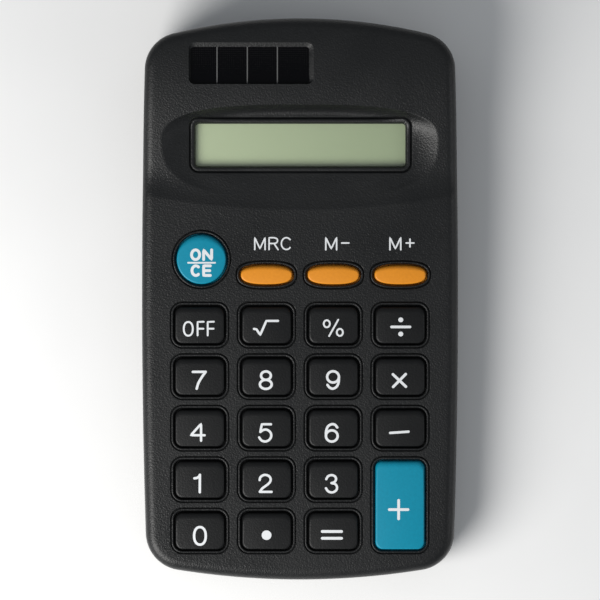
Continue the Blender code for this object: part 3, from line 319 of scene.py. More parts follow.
def key_outline(shape, width, height, grow, step=0.25):
    if shape == "box":
        corner = max(0.25, KEY_CORNER + grow)
        return rounded_box(width + 2 * grow, height + 2 * grow, corner, step)
    if shape == "round":
        return super_oval(width + 2 * grow, height + 2 * grow, 2, 96)
    return super_oval(width + 2 * grow, height + 2 * grow, OVAL_POWER, 112)


def key_distance(key, x, y):
    """Signed distance from a key's hole edge, positive outside, in keypad coordinates."""
    _, shape, cx, cy, width, height = key
    width, height = width + 2 * KEY_CLEARANCE, height + 2 * KEY_CLEARANCE
    if shape == "box":
        return box_distance(x - cx, y - cy, width, height, KEY_CORNER + KEY_CLEARANCE)
    if shape == "round":
        return np.hypot(x - cx, y - cy) - width / 2
    return oval_distance(x - cx, y - cy, width, height, OVAL_POWER)


KEYS = key_layout()

# Section through the ring round a key: (distance out from the hole, height over the face).
KEY_RING = (
    (0.0, -0.22), (0.05, -0.10), (0.12, -0.02), (0.22, 0.04), (0.33, 0.05), (0.42, 0.02),
    (0.48, -0.06), (0.53, -0.26), (0.60, -0.36), (0.67, -0.34), (0.73, -0.12), (0.77, -0.01), (0.84, 0.0),
    (0.94, 0.0),
)
WINDOW_RING = (
    (0.0, -0.50), (0.06, -0.46), (0.14, -0.38), (0.20, -0.18), (0.27, -0.03), (0.36, 0.02), (0.6, 0.02),
    (0.85, 0.02), (0.94, -0.06), (1.0, -0.30), (1.1, -0.40), (1.22, -0.36), (1.3, -0.14), (1.38, -0.02),
    (1.48, 0.0), (1.6, 0.0),
)


def section(profile, d):
    """A ring's height at signed distance d from its hole's edge: 0 inside the hole and past the ring."""
    d = np.where(d < -0.02, np.inf, np.maximum(d, 0.0))
    return np.interp(d, [p[0] for p in profile], [p[1] for p in profile], left=0.0, right=0.0)


def solar_slope(x, y):
    """0 on the face round the solar cell, 1 on the cell's level."""
    within, without = -from_box(SOLAR_MOUTH, x, y), from_box(SOLAR_CELL, x, y)
    share = np.where(without <= 0, 1.0, within / np.maximum(within + without, 1e-9))
    return np.clip(share, 0.0, 1.0)


def fine_face(x, y):
    """Height of the finished face."""
    z = broad_face(x, y)
    along = y / math.cos(KEYPAD_TILT)
    for key in KEYS:
        near = (np.abs(x - key[2]) < key[4] / 2 + 2) & (np.abs(along - key[3]) < key[5] / 2 + 2)
        if np.any(near):
            z[near] += section(KEY_RING, key_distance(key, x[near], along[near]))
    z += section(WINDOW_RING, from_box(WINDOW, x, y))
    z -= SOLAR_DEPTH * np.clip(solar_slope(x, y) * 1.15 - 0.08, 0.0, 1.0)
    edge = np.clip(1 - (case_inset(x, y) - DRAFT) / EDGE_ROUND, 0.0, 1.0)
    edge = np.where(edge > 1 - OUTLINE_SNAP, 1.0, edge)
    return z - EDGE_ROUND * (1 - np.sqrt(np.maximum(0.0, 1 - edge * edge)))


# ---------------------------------------------------------------- mesh helpers


def shade(mesh, bm, crisp, broad=math.inf):
    """Smooth shading, except on faces over a broad area and at edges over a crisp angle in degrees."""
    for face in bm.faces:
        face.smooth = face.calc_area() < broad
    for edge in bm.edges:
        edge.smooth = not (len(edge.link_faces) == 2 and edge.calc_face_angle(0.0) > math.radians(crisp))
    bm.to_mesh(mesh)
    bm.free()


def mesh_object(name, verts, faces, crisp=45.0):
    """A smooth-shaded mesh from points in millimetres."""
    mesh = bpy.data.meshes.new(name)
    mesh.from_pydata([tuple(float(c) * MM for c in v) for v in verts], [], faces)
    bm = bmesh.new()
    bm.from_mesh(mesh)
    bmesh.ops.remove_doubles(bm, verts=bm.verts, dist=1e-7)
    bmesh.ops.recalc_face_normals(bm, faces=bm.faces)
    shade(mesh, bm, crisp)
    obj = bpy.data.objects.new(name, mesh)
    bpy.context.scene.collection.objects.link(obj)
    return obj


def level(outline, z):
    """An outline's points at one height, or each at its own."""
    return [(x, y, h) for (x, y), h in zip(outline, np.broadcast_to(z, len(outline)))]


def ring_faces(first, second, count):
    """Quads between two rings of vertex numbers that start at first and second."""
    after = [(i + 1) % count for i in range(count)]
    return [(first + i, first + j, second + j, second + i) for i, j in enumerate(after)]


def lofted(rings, close_low=True, close_high=True):
    """(verts, faces) of a solid through rings of equally many points."""
    count = len(rings[0])
    verts = [p for ring in rings for p in ring]
    faces = []
    for i in range(len(rings) - 1):
        faces += ring_faces(i * count, (i + 1) * count, count)
    if close_low:
        faces.append(tuple(reversed(range(count))))
    if close_high:
        start = (len(rings) - 1) * count
        faces.append(tuple(range(start, start + count)))
    return verts, faces


def merged(parts):
    """Several (verts, faces) as one."""
    verts, faces = [], []
    for part_verts, part_faces in parts:
        shift = len(verts)
        verts += list(part_verts)
        faces += [tuple(i + shift for i in face) for face in part_faces]
    return verts, faces


def moved(verts, place):
    return [tuple(place @ Vector(v)) for v in verts]


def turned(profile, steps, place=None):
    """(verts, faces) of a solid of revolution about z through (radius, z) points from pole to pole."""
    angle = 2 * np.pi * np.arange(steps) / steps
    verts = [(0.0, 0.0, profile[0][1])]
    for radius, z in profile[1:-1]:
        verts += [(radius * math.cos(a), radius * math.sin(a), z) for a in angle]
    verts.append((0.0, 0.0, profile[-1][1]))
    faces = [(0, 1 + (i + 1) % steps, 1 + i) for i in range(steps)]
    for ring in range(len(profile) - 3):
        faces += ring_faces(1 + ring * steps, 1 + (ring + 1) * steps, steps)
    last = len(verts) - 1
    start = 1 + (len(profile) - 3) * steps
    faces += [(last, start + i, start + (i + 1) % steps) for i in range(steps)]
    if place is not None:
        verts = moved(verts, place)
    return verts, faces


def triangulated(loops, loose, keep, spacing):
    """Points and triangles of a flat region round loops, with loose points where they have room."""
    points, edges = [], []
    for loop, closed in loops:
        start = len(points)
        points += [tuple(p) for p in loop]
        count = len(loop)
        edges += [(start + i, start + i + 1) for i in range(count - 1)]
        if closed:
            edges.append((start + count - 1, start))
    tree = KDTree(len(points))
    for i, p in enumerate(points):
        tree.insert((p[0], p[1], 0), i)
    tree.balance()
    for p in loose:
        if tree.find((p[0], p[1], 0))[2] > spacing:
            points.append(tuple(p))
    made = delaunay_2d_cdt([Vector(p) for p in points], edges, [], 0, 1e-5)
    flat = np.array([tuple(v) for v in made[0]])
    triangles = np.array([tuple(f) for f in made[2]])
    centres = flat[triangles].mean(axis=1)
    triangles = triangles[keep(centres[:, 0], centres[:, 1])]
    used = np.unique(triangles)
    renumber = np.full(len(flat), -1)
    renumber[used] = np.arange(len(used))
    return flat[used], renumber[triangles]


def on_surface(flat, triangles, height):
    """(verts, faces) of a flat triangulation lifted to height(x, y)."""
    return level(flat, height(flat[:, 0], flat[:, 1])), [tuple(t) for t in triangles]


# ---------------------------------------------------------------- front shell


def world_outline(key, grow, step=0.25):
    """A key's outline on the face, seen from straight above."""
    outline = key_outline(key[1], key[4], key[5], grow, step)
    return (outline + (key[2], key[3])) * (1, math.cos(KEYPAD_TILT))


def offset_box(box, grow, step=0.3):
    cx, cy, w, h, r = box
    return rounded_box(w + 2 * grow, h + 2 * grow, r + grow, step) + (cx, cy)


def scoop_ring(reach):
    """Points where scoop_reach has the given value."""
    angles = np.linspace(0, 2 * np.pi, 320, endpoint=False)
    height, power = scoop_form(np.sin(angles) > 0)
    return super_points(angles, SCOOP_HALF_WIDTH * reach, height * reach, power) + (0, SCOOP_Y)


def in_face(x, y):
    """True where the front shell has plastic, seen from above."""
    along = y / math.cos(KEYPAD_TILT)
    solid = case_inset(x, y) > DRAFT
    for key in KEYS:
        solid &= key_distance(key, x, along) > 0
    for box in (WINDOW, SOLAR_CELL):
        solid &= from_box(box, x, y) > 0
    return solid


def grid_points(pitch):
    """Evenly spaced points over the face, in staggered rows."""
    xs = np.arange(-WIDTH / 2, WIDTH / 2, pitch)
    ys = np.arange(-LENGTH / 2, LENGTH / 2, pitch)
    x, y = np.meshgrid(xs, ys)
    x[1::2] += pitch / 2
    flat = np.column_stack((x.ravel(), y.ravel()))
    return flat[in_face(flat[:, 0], flat[:, 1])]


FACE_PITCH, UNDERSIDE_PITCH = 0.9, 3.0
SCOOP_REACHES = (1.015, 1.0, 0.99, 0.97, 0.93, 0.88, 0.83, 0.78)


def edge_insets():
    """Insets of the rings that follow the face's rounded edge."""
    return [DRAFT + EDGE_ROUND * (1 - math.cos(a)) for a in np.linspace(0, math.pi / 2, 9)]


def clear_runs(ring, clear):
    """The stretches of a closed ring where clear is true, as open loops, or the ring itself."""
    count = len(ring)
    starts = [i for i in range(count) if clear[i] and not clear[i - 1]]
    if not starts:
        return [(ring, True)]
    runs = []
    for start in starts:
        run = []
        while clear[(start + len(run)) % count] and len(run) < count:
            run.append(ring[(start + len(run)) % count])
        if len(run) > 2:
            runs.append((np.array(run), False))
    return runs


def face_loops():
    """Lines that the face's mesh follows, so that its rims and grooves come out crisp."""
    insets = edge_insets()
    loops = [(case_outline(d), True) for d in insets]
    for key in KEYS:
        loops += [(world_outline(key, KEY_CLEARANCE + d), True) for d, _ in KEY_RING]
    loops += [(offset_box(WINDOW, d), True) for d, _ in WINDOW_RING]
    for box, grow in ((SOLAR_CELL, 0), (SOLAR_MOUTH, 0), (SOLAR_MOUTH, 0.15), (SOLAR_CELL, 0.08)):
        loops.append((offset_box(box, grow), True))
    for ahead in (-0.3, 0.0, 0.25):
        xs = np.linspace(-WIDTH / 2, WIDTH / 2, 140)
        line = np.column_stack((xs, valley_edge(xs) + ahead))
        line = line[case_inset(line[:, 0], line[:, 1]) > insets[-1] + 0.3]
        loops.append((line, False))
    for reach in SCOOP_REACHES:
        ring = scoop_ring(reach)
        x, y = ring[:, 0], ring[:, 1]
        clear = from_box(WINDOW, x, y) > WINDOW_RING[-1][0] + 0.15
        loops += clear_runs(ring, clear & (y > valley_edge(x) + 0.5))
    return loops


def underside(x, y):
    """Height of the front shell's inside, thicker along its walls."""
    return broad_face(x, y) - WALL - 0.3 * (1 - smooth((case_inset(x, y) - WALL - DRAFT) / 2))


def front_walls():
    """The shell's side wall, from the inside's ceiling round the parting edge to the face."""
    inner, edge = case_outline(WALL + DRAFT), case_outline(DRAFT)
    foot = PARTING_Z + SHELL_GAP
    rings = [level(inner, broad_face(inner[:, 0], inner[:, 1]) - WALL - 0.3)]
    for inset, z in ((WALL, foot), (0.15, foot), (0.0, foot + 0.15)):
        rings.append(level(case_outline(inset), z))
    rings.append(level(edge, fine_face(edge[:, 0], edge[:, 1])))
    return lofted(rings, False, False)


def in_underside(x, y):
    return in_face(x, y) & (case_inset(x, y) > WALL + DRAFT)


def front_shell():
    parts = [on_surface(*triangulated(face_loops(), grid_points(FACE_PITCH), in_face, 0.4), fine_face)]
    parts.append(front_walls())
    openings = [world_outline(key, KEY_CLEARANCE) for key in KEYS]
    openings += [offset_box(WINDOW, 0), offset_box(SOLAR_CELL, 0)]
    loops = [(outline, True) for outline in (case_outline(WALL + DRAFT), *openings)]
    inside = triangulated(loops, grid_points(UNDERSIDE_PITCH), in_underside, 1.2)
    parts.append(on_surface(*inside, underside))
    for outline in openings:
        x, y = outline[:, 0], outline[:, 1]
        rings = [level(outline, height(x, y)) for height in (underside, fine_face)]
        parts.append(lofted(rings, False, False))
    return mesh_object("front_shell_finish", *merged(parts), crisp=50)


# ---------------------------------------------------------------- keys


def keypad_frame(x=0.0, y=0.0):
    """Where a point of the keypad's plane lies: x right, y up the keypad, z out of it."""
    tilt = Matrix.Rotation(KEYPAD_TILT, 4, "X")
    return Matrix.Translation((0, 0, KEYPAD_Z)) @ tilt @ Matrix.Translation((x, y, 0))


def key_top(key, x, y):
    """Height of a key's crowned top over the keypad, at a point measured from the key's middle."""
    _, _, _, _, width, height = key
    across = 1 - (2 * x / width) ** 2
    along = 1 - (2 * y / height) ** 2
    return KEY_PROUD + KEY_CROWN * (0.35 * along + 0.65 * across) - KEY_CROWN


def key_cap(key):
    """A key with small rounded edges and a deeper brow that falls away on its display side."""
    name, shape, cx, cy, width, height = key
    outline = key_outline(shape, width, height, 0, 0.25)
    brow = smooth(outline[:, 1] / (height / 2)) ** 1.5
    brow_depth = min(KEY_BROW_DEPTH, KEY_BROW_SHARE * height)
    base = KEY_PROUD - KEY_CROWN - KEY_BROW_DROP
    rings = []
    for grow, z in (*FLANGE_SECTION, (0.0, -1.5), (0.0, -0.3), (-0.05, base)):
        rings.append(level(outline * (1 + 2 * grow / width, 1 + 2 * grow / height), z))
    for angle in np.linspace(0, math.pi / 2, 10):
        inset = 0.06 + KEY_ROUND * (1 - math.cos(angle))
        x, y = (outline * (1 - 2 * inset / width, 1 - 2 * inset / height)).T
        y = y - brow * (brow_depth - KEY_ROUND) * (1 - math.cos(angle))
        drop = (KEY_ROUND + brow * (KEY_BROW_DROP - KEY_ROUND)) * (1 - math.sin(angle))
        rings.append(list(zip(x, y, key_top(key, x, y) - drop)))
    edge = np.array(rings[-1])[:, :2]
    middle = np.array((0.0, edge[:, 1].mean()))
    for share in (0.97, 0.9, 0.75, 0.6, 0.45, 0.3, 0.15, 0.05):
        x, y = (middle + (edge - middle) * share).T
        rings.append(list(zip(x, y, key_top(key, x, y))))
    verts, faces = lofted(rings)
    verts = moved(verts, keypad_frame(cx, cy))
    return mesh_object(f"key_{name}_cap", verts, faces, crisp=60)


# ---------------------------------------------------------------- legends


def ellipse(cx, cy, rx, ry, start=0.0, end=360.0, power=2.0):
    """Points on part of an ellipse, angles in degrees. The first is repeated at the end of a whole one."""
    steps = max(8, round(abs(end - start) / 9))
    angles = np.radians(np.linspace(start, end, steps + 1))
    return super_points(angles, rx, ry, power) + (cx, cy)


def straight(*points):
    """Points along straight runs between the given ones."""
    knots = np.array(points, float)
    made = [knots[:1]]
    for a, b in zip(knots, knots[1:]):
        count = max(1, round(math.dist(a, b) / 0.3))
        made.append(np.linspace(a, b, count + 1)[1:])
    return np.vstack(made)


def curved(*points):
    """Points on a Catmull-Rom curve through the given ones."""
    knots = [np.array(p, float) for p in points]
    ends = [knots[0] * 2 - knots[1], *knots, knots[-1] * 2 - knots[-2]]
    made = []
    for a, b, c, d in zip(ends, ends[1:], ends[2:], ends[3:]):
        for t in (0.0, 0.25, 0.5, 0.75):
            square, cube = 2 * a - 5 * b + 4 * c - d, 3 * b - a - 3 * c + d
            made.append(b + ((c - a) * t + square * t**2 + cube * t**3) / 2)
    return np.array([*made, knots[-1]])


def shifted(strokes, dx, dy):
    """The same strokes moved."""
    return [stroke + (dx, dy) for stroke in strokes]


def letter_m(width, height):
    x, y = width / 2, height / 2
    return [straight((-x, -y), (-x, y), (0, -y * 0.85), (x, y), (x, -y))]


def letter_f(width, height):
    y = height / 2
    return [straight((0, -y), (0, y), (width, y + 0.05)), straight((0, 0), (width * 0.95, 0))]


# Key legends: (stroke width, strokes, offset from the key's middle).
LEGENDS = {
    "7": (
        0.5,
        [
            straight((-1.3, 1.7), (1.32, 1.7)),
            curved((1.32, 1.7), (0.62, 0.75), (-0.15, -0.55), (-0.52, -1.75)),
        ],
        (-0.1, -0.68),
    ),
    "8": (0.5, [ellipse(0.03, 0.93, 1.0, 0.86), ellipse(0.0, -0.86, 1.2, 0.93)], (-0.16, -0.68)),
    "9": (
        0.5,
        [
            ellipse(0, 0.63, 1.2, 1.15),
            curved((1.2, 0.5), (1.13, -0.5), (0.75, -1.35), (0.0, -1.78), (-0.7, -1.55), (-1.14, -1.0)),
        ],
        (-0.08, -0.64),
    ),
    "4": (0.48, [straight((0.68, -1.72), (0.68, 1.72), (-1.4, -0.6), (1.4, -0.6))], (-0.42, -0.8)),
    "5": (
        0.48,
        [
            straight((1.16, 1.75), (-0.7, 1.75), (-1.0, 0.18)),
            curved(
                (-1.0, 0.18), (-0.35, 0.6), (0.35, 0.62), (1.0, 0.15), (1.22, -0.6), (0.9, -1.35),
                (0.1, -1.78), (-0.75, -1.58), (-1.24, -0.95),
            ),
        ],
        (-0.27, -0.9),
    ),
    "6": (
        0.5,
        [
            ellipse(0, -0.63, 1.2, 1.15),
            curved((1.12, 1.12), (0.66, 1.65), (0.05, 1.78), (-0.72, 1.4), (-1.13, 0.5), (-1.2, -0.5)),
        ],
        (-0.33, -0.92),
    ),
    "1": (
        0.5,
        [
            curved((-1.1, 1.08), (-0.6, 1.16), (-0.2, 1.42), (0.03, 1.8)),
            straight((0.03, 1.8), (0.0, -1.77)),
        ],
        (-0.02, -0.76),
    ),
    "2": (
        0.48,
        [
            curved(
                (-1.16, 0.72), (-1.0, 1.3), (-0.45, 1.7), (0.12, 1.77), (0.78, 1.5),
                (1.1, 0.9), (0.9, 0.25), (0.25, -0.35), (-0.6, -0.98), (-1.12, -1.68),
            ),
            straight((-1.12, -1.7), (1.28, -1.7)),
        ],
        (-0.27, -0.76),
    ),
    "3": (
        0.48,
        [
            curved(
                (-1.08, 0.95), (-0.72, 1.53), (0, 1.78), (0.7, 1.52), (0.93, 0.95), (0.62, 0.38),
                (-0.02, 0.14),
            ),
            curved(
                (-0.02, 0.14), (0.78, -0.08), (1.13, -0.72), (0.9, -1.4), (0.12, -1.77), (-0.68, -1.55),
                (-1.14, -0.92),
            ),
        ],
        (-0.38, -0.8),
    ),
    "0": (0.5, [ellipse(0, 0, 1.19, 1.8, power=2.2)], (0.0, -0.94)),
    "point": (1.95, [straight((-0.02, 0), (0.02, 0))], (-0.02, -0.8)),
    "equals": (0.58, [straight((-1.97, y), (1.97, y)) for y in (0.7, -0.7)], (-0.3, -0.74)),
    "multiply": (
        0.54,
        [straight((-1.3, 1.25), (1.35, -1.25)), straight((-1.25, -1.3), (1.3, 1.3))],
        (-0.2, -0.75),
    ),
    "minus": (0.5, [straight((-1.87, -0.13), (1.87, 0.13))], (-0.18, -0.8)),
    "plus": (0.56, [straight((-1.9, 0), (1.9, 0)), straight((0, -1.9), (0, 1.9))], (-0.3, -0.82)),
    "divide": (0.54, [straight((-1.88, 0), (1.88, 0))], (0.08, -0.35)),
    "square_root": (
        0.46,
        [straight((-2.42, -0.15), (-1.92, -0.24), (-1.15, -1.38), (0.1, 1.48), (2.47, 1.48))],
        (-0.14, -0.6),
    ),
    "percent": (
        0.36,
        [
            ellipse(-1.28, 0.92, 0.62, 0.72),
            ellipse(1.38, -0.84, 0.62, 0.72),
            straight((1.05, 1.74), (-0.8, -1.6)),
        ],
        (-0.08, -0.62),
    ),
    "off": (
        0.37,
        [
            ellipse(-2.1, -0.08, 0.92, 1.4, power=2.2),
            *shifted(letter_f(1.25, 2.75), -0.2, -0.05),
            *shifted(letter_f(1.25, 2.75), 1.86, -0.05),
        ],
        (-0.22, -0.66),
    ),
    "on_ce": (
        0.58,
        [
            ellipse(-1.22, 1.4, 0.82, 0.98),
            straight((0.42, 0.42), (0.42, 2.38), (2.05, 0.42), (2.05, 2.38)),
            ellipse(-1.16, -1.84, 0.8, 0.98, 50, 310),
            straight((1.78, -0.86), (0.42, -0.86), (0.42, -2.82), (1.78, -2.82)),
            straight((0.42, -1.84), (1.66, -1.84)),
        ],
        (0.05, -0.42),
    ),
}
DIVIDE_DOTS = (0.98, [straight((-0.02, 1.45), (0.02, 1.45)), straight((-0.02, -1.45), (0.02, -1.45))])
ON_CE_BAR = (0.34, [straight((-2.75, -0.24), (2.75, -0.24))])

# Legends printed on the case above the memory keys: (stroke width, strokes, middle on the face).
CASE_LEGENDS = {
    "mrc": (
        0.3,
        [
            *shifted(letter_m(2.1, 2.45), -2.67, 0),
            straight((-0.8, -1.22), (-0.8, 1.2), (0.2, 1.2)),
            curved((0.2, 1.2), (0.76, 1.0), (0.92, 0.6), (0.74, 0.2), (0.2, 0.03), (-0.8, 0.03)),
            straight((0.2, 0.03), (1.02, -1.22)),
            ellipse(2.72, 0, 1.02, 1.2, 42, 318),
        ],
        (-5.5, 11.5),
    ),
    "m_minus": (
        0.32,
        [*shifted(letter_m(2.2, 2.5), -0.84, 0), straight((1.3, 0.12), (2.75, 0.12))],
        (7.2, 11.5),
    ),
    "m_plus": (
        0.32,
        [
            *shifted(letter_m(2.2, 2.5), -1.36, 0),
            straight((0.85, 0.12), (2.4, 0.12)),
            straight((1.62, -0.66), (1.62, 0.9)),
        ],
        (20.8, 11.5),
    ),
}

INK_RISE, INK_DEPTH = 0.02, 0.05


def stroke_outlines(stroke, width):
    """Closed outlines of a round-ended stroke, or the two of a closed one."""
    half = width / 2
    closed = np.allclose(stroke[0], stroke[-1])
    points = stroke[:-1] if closed else stroke
    if closed:
        ahead, behind = np.roll(points, -1, 0), np.roll(points, 1, 0)
    else:
        ahead = np.vstack((points[1:], points[-1:]))
        behind = np.vstack((points[:1], points[:-1]))
    run = ahead - behind
    run /= np.maximum(np.hypot(run[:, 0], run[:, 1]), 1e-9)[:, None]
    left = np.column_stack((-run[:, 1], run[:, 0])) * half
    if closed:
        return [points + left, points - left]
    end = math.atan2(run[-1, 1], run[-1, 0])
    begin = math.atan2(run[0, 1], run[0, 0])
    cap_steps = 8 if width < 1.5 else 20
    end_cap = arc(points[-1], half, end + math.pi / 2, end - math.pi / 2, cap_steps)[1:-1]
    begin_cap = arc(points[0], half, begin - math.pi / 2, begin - 3 * math.pi / 2, cap_steps)[1:-1]
    return [np.vstack((points + left, end_cap, (points - left)[::-1], begin_cap))]


def stroke_distance(strokes, x, y):
    """Distance from points to the nearest stroke's centre line."""
    best = np.full(len(x), 1e9)
    for stroke in strokes:
        for (ax, ay), (bx, by) in zip(stroke, stroke[1:]):
            dx, dy = bx - ax, by - ay
            share = np.clip(((x - ax) * dx + (y - ay) * dy) / max(dx * dx + dy * dy, 1e-12), 0, 1)
            best = np.minimum(best, np.hypot(x - ax - share * dx, y - ay - share * dy))
    return best


def ink(width, strokes, height):
    """(verts, faces) of printed strokes laid on a surface given by height(x, y)."""
    loops = []
    for stroke in strokes:
        loops += [(outline, True) for outline in stroke_outlines(stroke, width)]
        loops.append((stroke, False))
    flat, triangles = triangulated(
        loops, [], lambda x, y: stroke_distance(strokes, x, y) < width / 2 - 0.003, 1.0
    )
    z = height(flat[:, 0], flat[:, 1])
    count = len(flat)
    verts = level(flat, z + INK_RISE) + level(flat, z - INK_DEPTH)
    faces = [tuple(t) for t in triangles] + [tuple(i + count for i in reversed(t)) for t in triangles]
    sides = {}
    for t in triangles:
        for a, b in ((t[0], t[1]), (t[1], t[2]), (t[2], t[0])):
            sides[(a, b)] = (b, a) not in sides
            if (b, a) in sides:
                sides[(b, a)] = False
    faces += [(b, a, a + count, b + count) for (a, b), rim in sides.items() if rim]
    return verts, faces


def key_legend(key):
    name = key[0]
    if name not in LEGENDS:
        return None
    width, strokes, (dx, dy) = LEGENDS[name]
    groups = [(width, strokes)]
    if name == "divide":
        groups.append(DIVIDE_DOTS)
    if name == "on_ce":
        groups.append(ON_CE_BAR)
    parts = [ink(w, shifted(group, dx, dy), lambda x, y: key_top(key, x, y)) for w, group in groups]
    verts, faces = merged(parts)
    verts = moved(verts, keypad_frame(key[2], key[3]))
    return mesh_object(f"key_{name}_legend", verts, faces)


def case_legend(name):
    width, strokes, (dx, dy) = CASE_LEGENDS[name]
    verts, faces = ink(width, shifted(strokes, dx, dy), broad_face)
    return mesh_object(f"case_{name}_legend", verts, faces)


# ---------------------------------------------------------------- materials


class Material:
    """A procedural material under construction, with short ways to add nodes."""

    def __init__(self, name, roughness=0.5, metallic=0.0, specular=0.5):
        self.made = bpy.data.materials.new(name)
        self.made.use_nodes = True
        self.tree = self.made.node_tree
        self.shader = self.tree.nodes["Principled BSDF"]
        self.give(self.shader, {"Roughness": roughness, "Metallic": metallic, "Specular IOR Level": specular})
        self.where = self.tree.nodes.new("ShaderNodeTexCoord").outputs["Object"]

    def give(self, node, inputs):
        """Sets a node's inputs to values, or links them to other nodes' outputs."""
        for key, value in inputs.items():
            if isinstance(value, bpy.types.NodeSocket):
                self.tree.links.new(value, node.inputs[key])
            else:
                node.inputs[key].default_value = value

    def node(self, kind, inputs, **values):
        made = self.tree.nodes.new(kind)
        for key, value in values.items():
            setattr(made, key, value)
        self.give(made, inputs)
        return made

    def noise(self, scale, detail=2.0, stretch=None):
        where = self.where
        if stretch is not None:
            where = self.node("ShaderNodeMapping", {"Scale": stretch, "Vector": where}).outputs["Vector"]
        inputs = {"Scale": scale, "Detail": detail, "Vector": where}
        return self.node("ShaderNodeTexNoise", inputs).outputs["Fac"]

    def place(self, axis):
        """How far along an axis a point of the surface is, in metres."""
        return self.node("ShaderNodeSeparateXYZ", {"Vector": self.where}).outputs[axis]

    def ramp(self, factor, *stops, kind="LINEAR"):
        """A colour ramp through stops, each (position, colour)."""
        made = self.node("ShaderNodeValToRGB", {"Fac": factor})
        made.color_ramp.interpolation = kind
        elements = made.color_ramp.elements
        for i, (position, colour) in enumerate(stops):
            stop = elements[i] if i < 2 else elements.new(position)
            stop.position = position
            stop.color = (*colour, 1)
        return made.outputs["Color"]

    def mapped(self, value, from_low, from_high, low, high):
        """A value moved from one span to another and kept inside it."""
        inputs = {"Value": value, "From Min": from_low, "From Max": from_high, "To Min": low, "To Max": high}
        return self.node("ShaderNodeMapRange", inputs).outputs["Result"]

    def scaled(self, factor, low, high):
        return self.mapped(factor, 0.3, 0.7, low, high)

    def mixed(self, factor, first, second, blend="MIX"):
        inputs = {"Factor": factor, "A": first, "B": second}
        return self.node("ShaderNodeMix", inputs, data_type="RGBA", blend_type=blend).outputs["Result"]

    def maths(self, operation, *numbers):
        return self.node("ShaderNodeMath", dict(enumerate(numbers)), operation=operation).outputs[0]

    def colour(self, output):
        self.give(self.shader, {"Base Color": output})

    def speckle(self, colour, spread, scale):
        """Base colour with fine darker and lighter grains."""
        dark = tuple(c * (1 - spread) for c in colour)
        light = tuple(min(1.0, c * (1 + spread)) for c in colour)
        self.colour(self.ramp(self.noise(scale, 3.0), (0.3, dark), (0.7, light)))

    def rough(self, low, high, scale):
        self.give(self.shader, {"Roughness": self.scaled(self.noise(scale), low, high)})

    def bump(self, height, strength, distance):
        inputs = {"Strength": strength, "Distance": distance * MM, "Height": height}
        self.give(self.shader, {"Normal": self.node("ShaderNodeBump", inputs).outputs["Normal"]})


def moulded(name, colour, roughness, spread, grain, strength, depth, specular):
    """Moulded plastic with a spark-eroded grain."""
    material = Material(name, specular=specular)
    material.speckle(colour, spread, grain * 0.7)
    material.rough(roughness - 0.05, roughness + 0.07, 60.0)
    material.bump(material.noise(grain, 2.0), strength, depth)
    return material.made


def flat_metal(name, colour, roughness, stretch, scale):
    """Bare metal with fine marks drawn out along one direction."""
    material = Material(name, metallic=1.0)
    marks = material.noise(scale, 3.0, stretch)
    material.colour(material.ramp(marks, (0.3, tuple(c * 0.8 for c in colour)), (0.7, colour)))
    worn = material.scaled(marks, roughness - 0.06, roughness + 0.1)
    material.give(material.shader, {"Roughness": worn})
    material.bump(marks, 0.15, 0.01)
    return material.made


def display_look():
    """Grey-green polariser, with painted light that makes it paler at the left, and a painted shadow along
    its lower edge.
    """
    material = Material("display_green", roughness=0.32, specular=0.35)
    half = WINDOW[2] / 2 * MM
    across = material.mapped(material.place("X"), -half, half, 0.0, 1.0)
    # painted light: the polariser is coloured paler at the left and darker to the right, where less light
    # falls
    tint = material.ramp(across, (0.0, (0.43, 0.51, 0.312)), (1.0, (0.285, 0.356, 0.198)))
    low = (WINDOW[1] - WINDOW[3] / 2) * MM
    # painted shadow: darker along the lower edge, where the window's lower wall shades the polariser
    shadow = material.mapped(material.place("Y"), low, low + 1.6 * MM, 0.72, 1.0)
    shaded = material.node("ShaderNodeVectorMath", {0: tint, "Scale": shadow}, operation="SCALE")
    material.colour(shaded.outputs["Vector"])
    material.rough(0.28, 0.36, 200.0)
    return material.made


def solar_look():
    """Four amorphous cells behind glass: near black, fine dots, three pale lines between the cells."""
    material = Material("solar_dark", roughness=0.16, specular=0.12)
    across = material.place("X")
    lines = 0.0
    for x in CELL_LINES:
        near = material.maths("COMPARE", across, x * MM, CELL_LINE_HALF_WIDTH * MM)
        lines = material.maths("ADD", lines, near)
    inputs = {"Scale": 2300.0, "Randomness": 0.15, "Vector": material.where}
    dots = material.node("ShaderNodeTexVoronoi", inputs).outputs["Distance"]
    cells = material.ramp(dots, (0.18, (0.007, 0.0065, 0.007)), (0.42, (0.0012, 0.0012, 0.0018)))
    material.colour(material.mixed(lines, cells, (0.13, 0.13, 0.13, 1)))
    material.rough(0.12, 0.22, 90.0)
    return material.made


def clear_look(name, tint, alpha, roughness):
    material = Material(name, roughness=roughness, specular=0.5)
    material.speckle(tint, 0.02, 400.0)
    material.rough(roughness, roughness + 0.05, 120.0)
    material.give(material.shader, {"Alpha": alpha})
    return material.made


def board_look():
    """Brown laminate under green lacquer, with darker tracks."""
    material = Material("board_brown", roughness=0.4)
    inputs = {"Scale": 160.0, "Mortar Size": 0.06, "Mortar": (0.08, 0.24, 0.09, 1), "Vector": material.where}
    inputs |= {"Color1": (0.03, 0.13, 0.045, 1), "Color2": (0.035, 0.15, 0.05, 1)}
    tracks = material.node("ShaderNodeTexBrick", inputs)
    fibres = material.ramp(material.noise(700.0, 3.0), (0.35, (0.7, 0.7, 0.7)), (0.75, (1.0, 1.0, 1.0)))
    material.colour(material.mixed(0.6, tracks.outputs["Color"], fibres, "MULTIPLY"))
    material.rough(0.3, 0.45, 300.0)
    material.bump(tracks.outputs["Fac"], 0.2, 0.03)
    return material.made


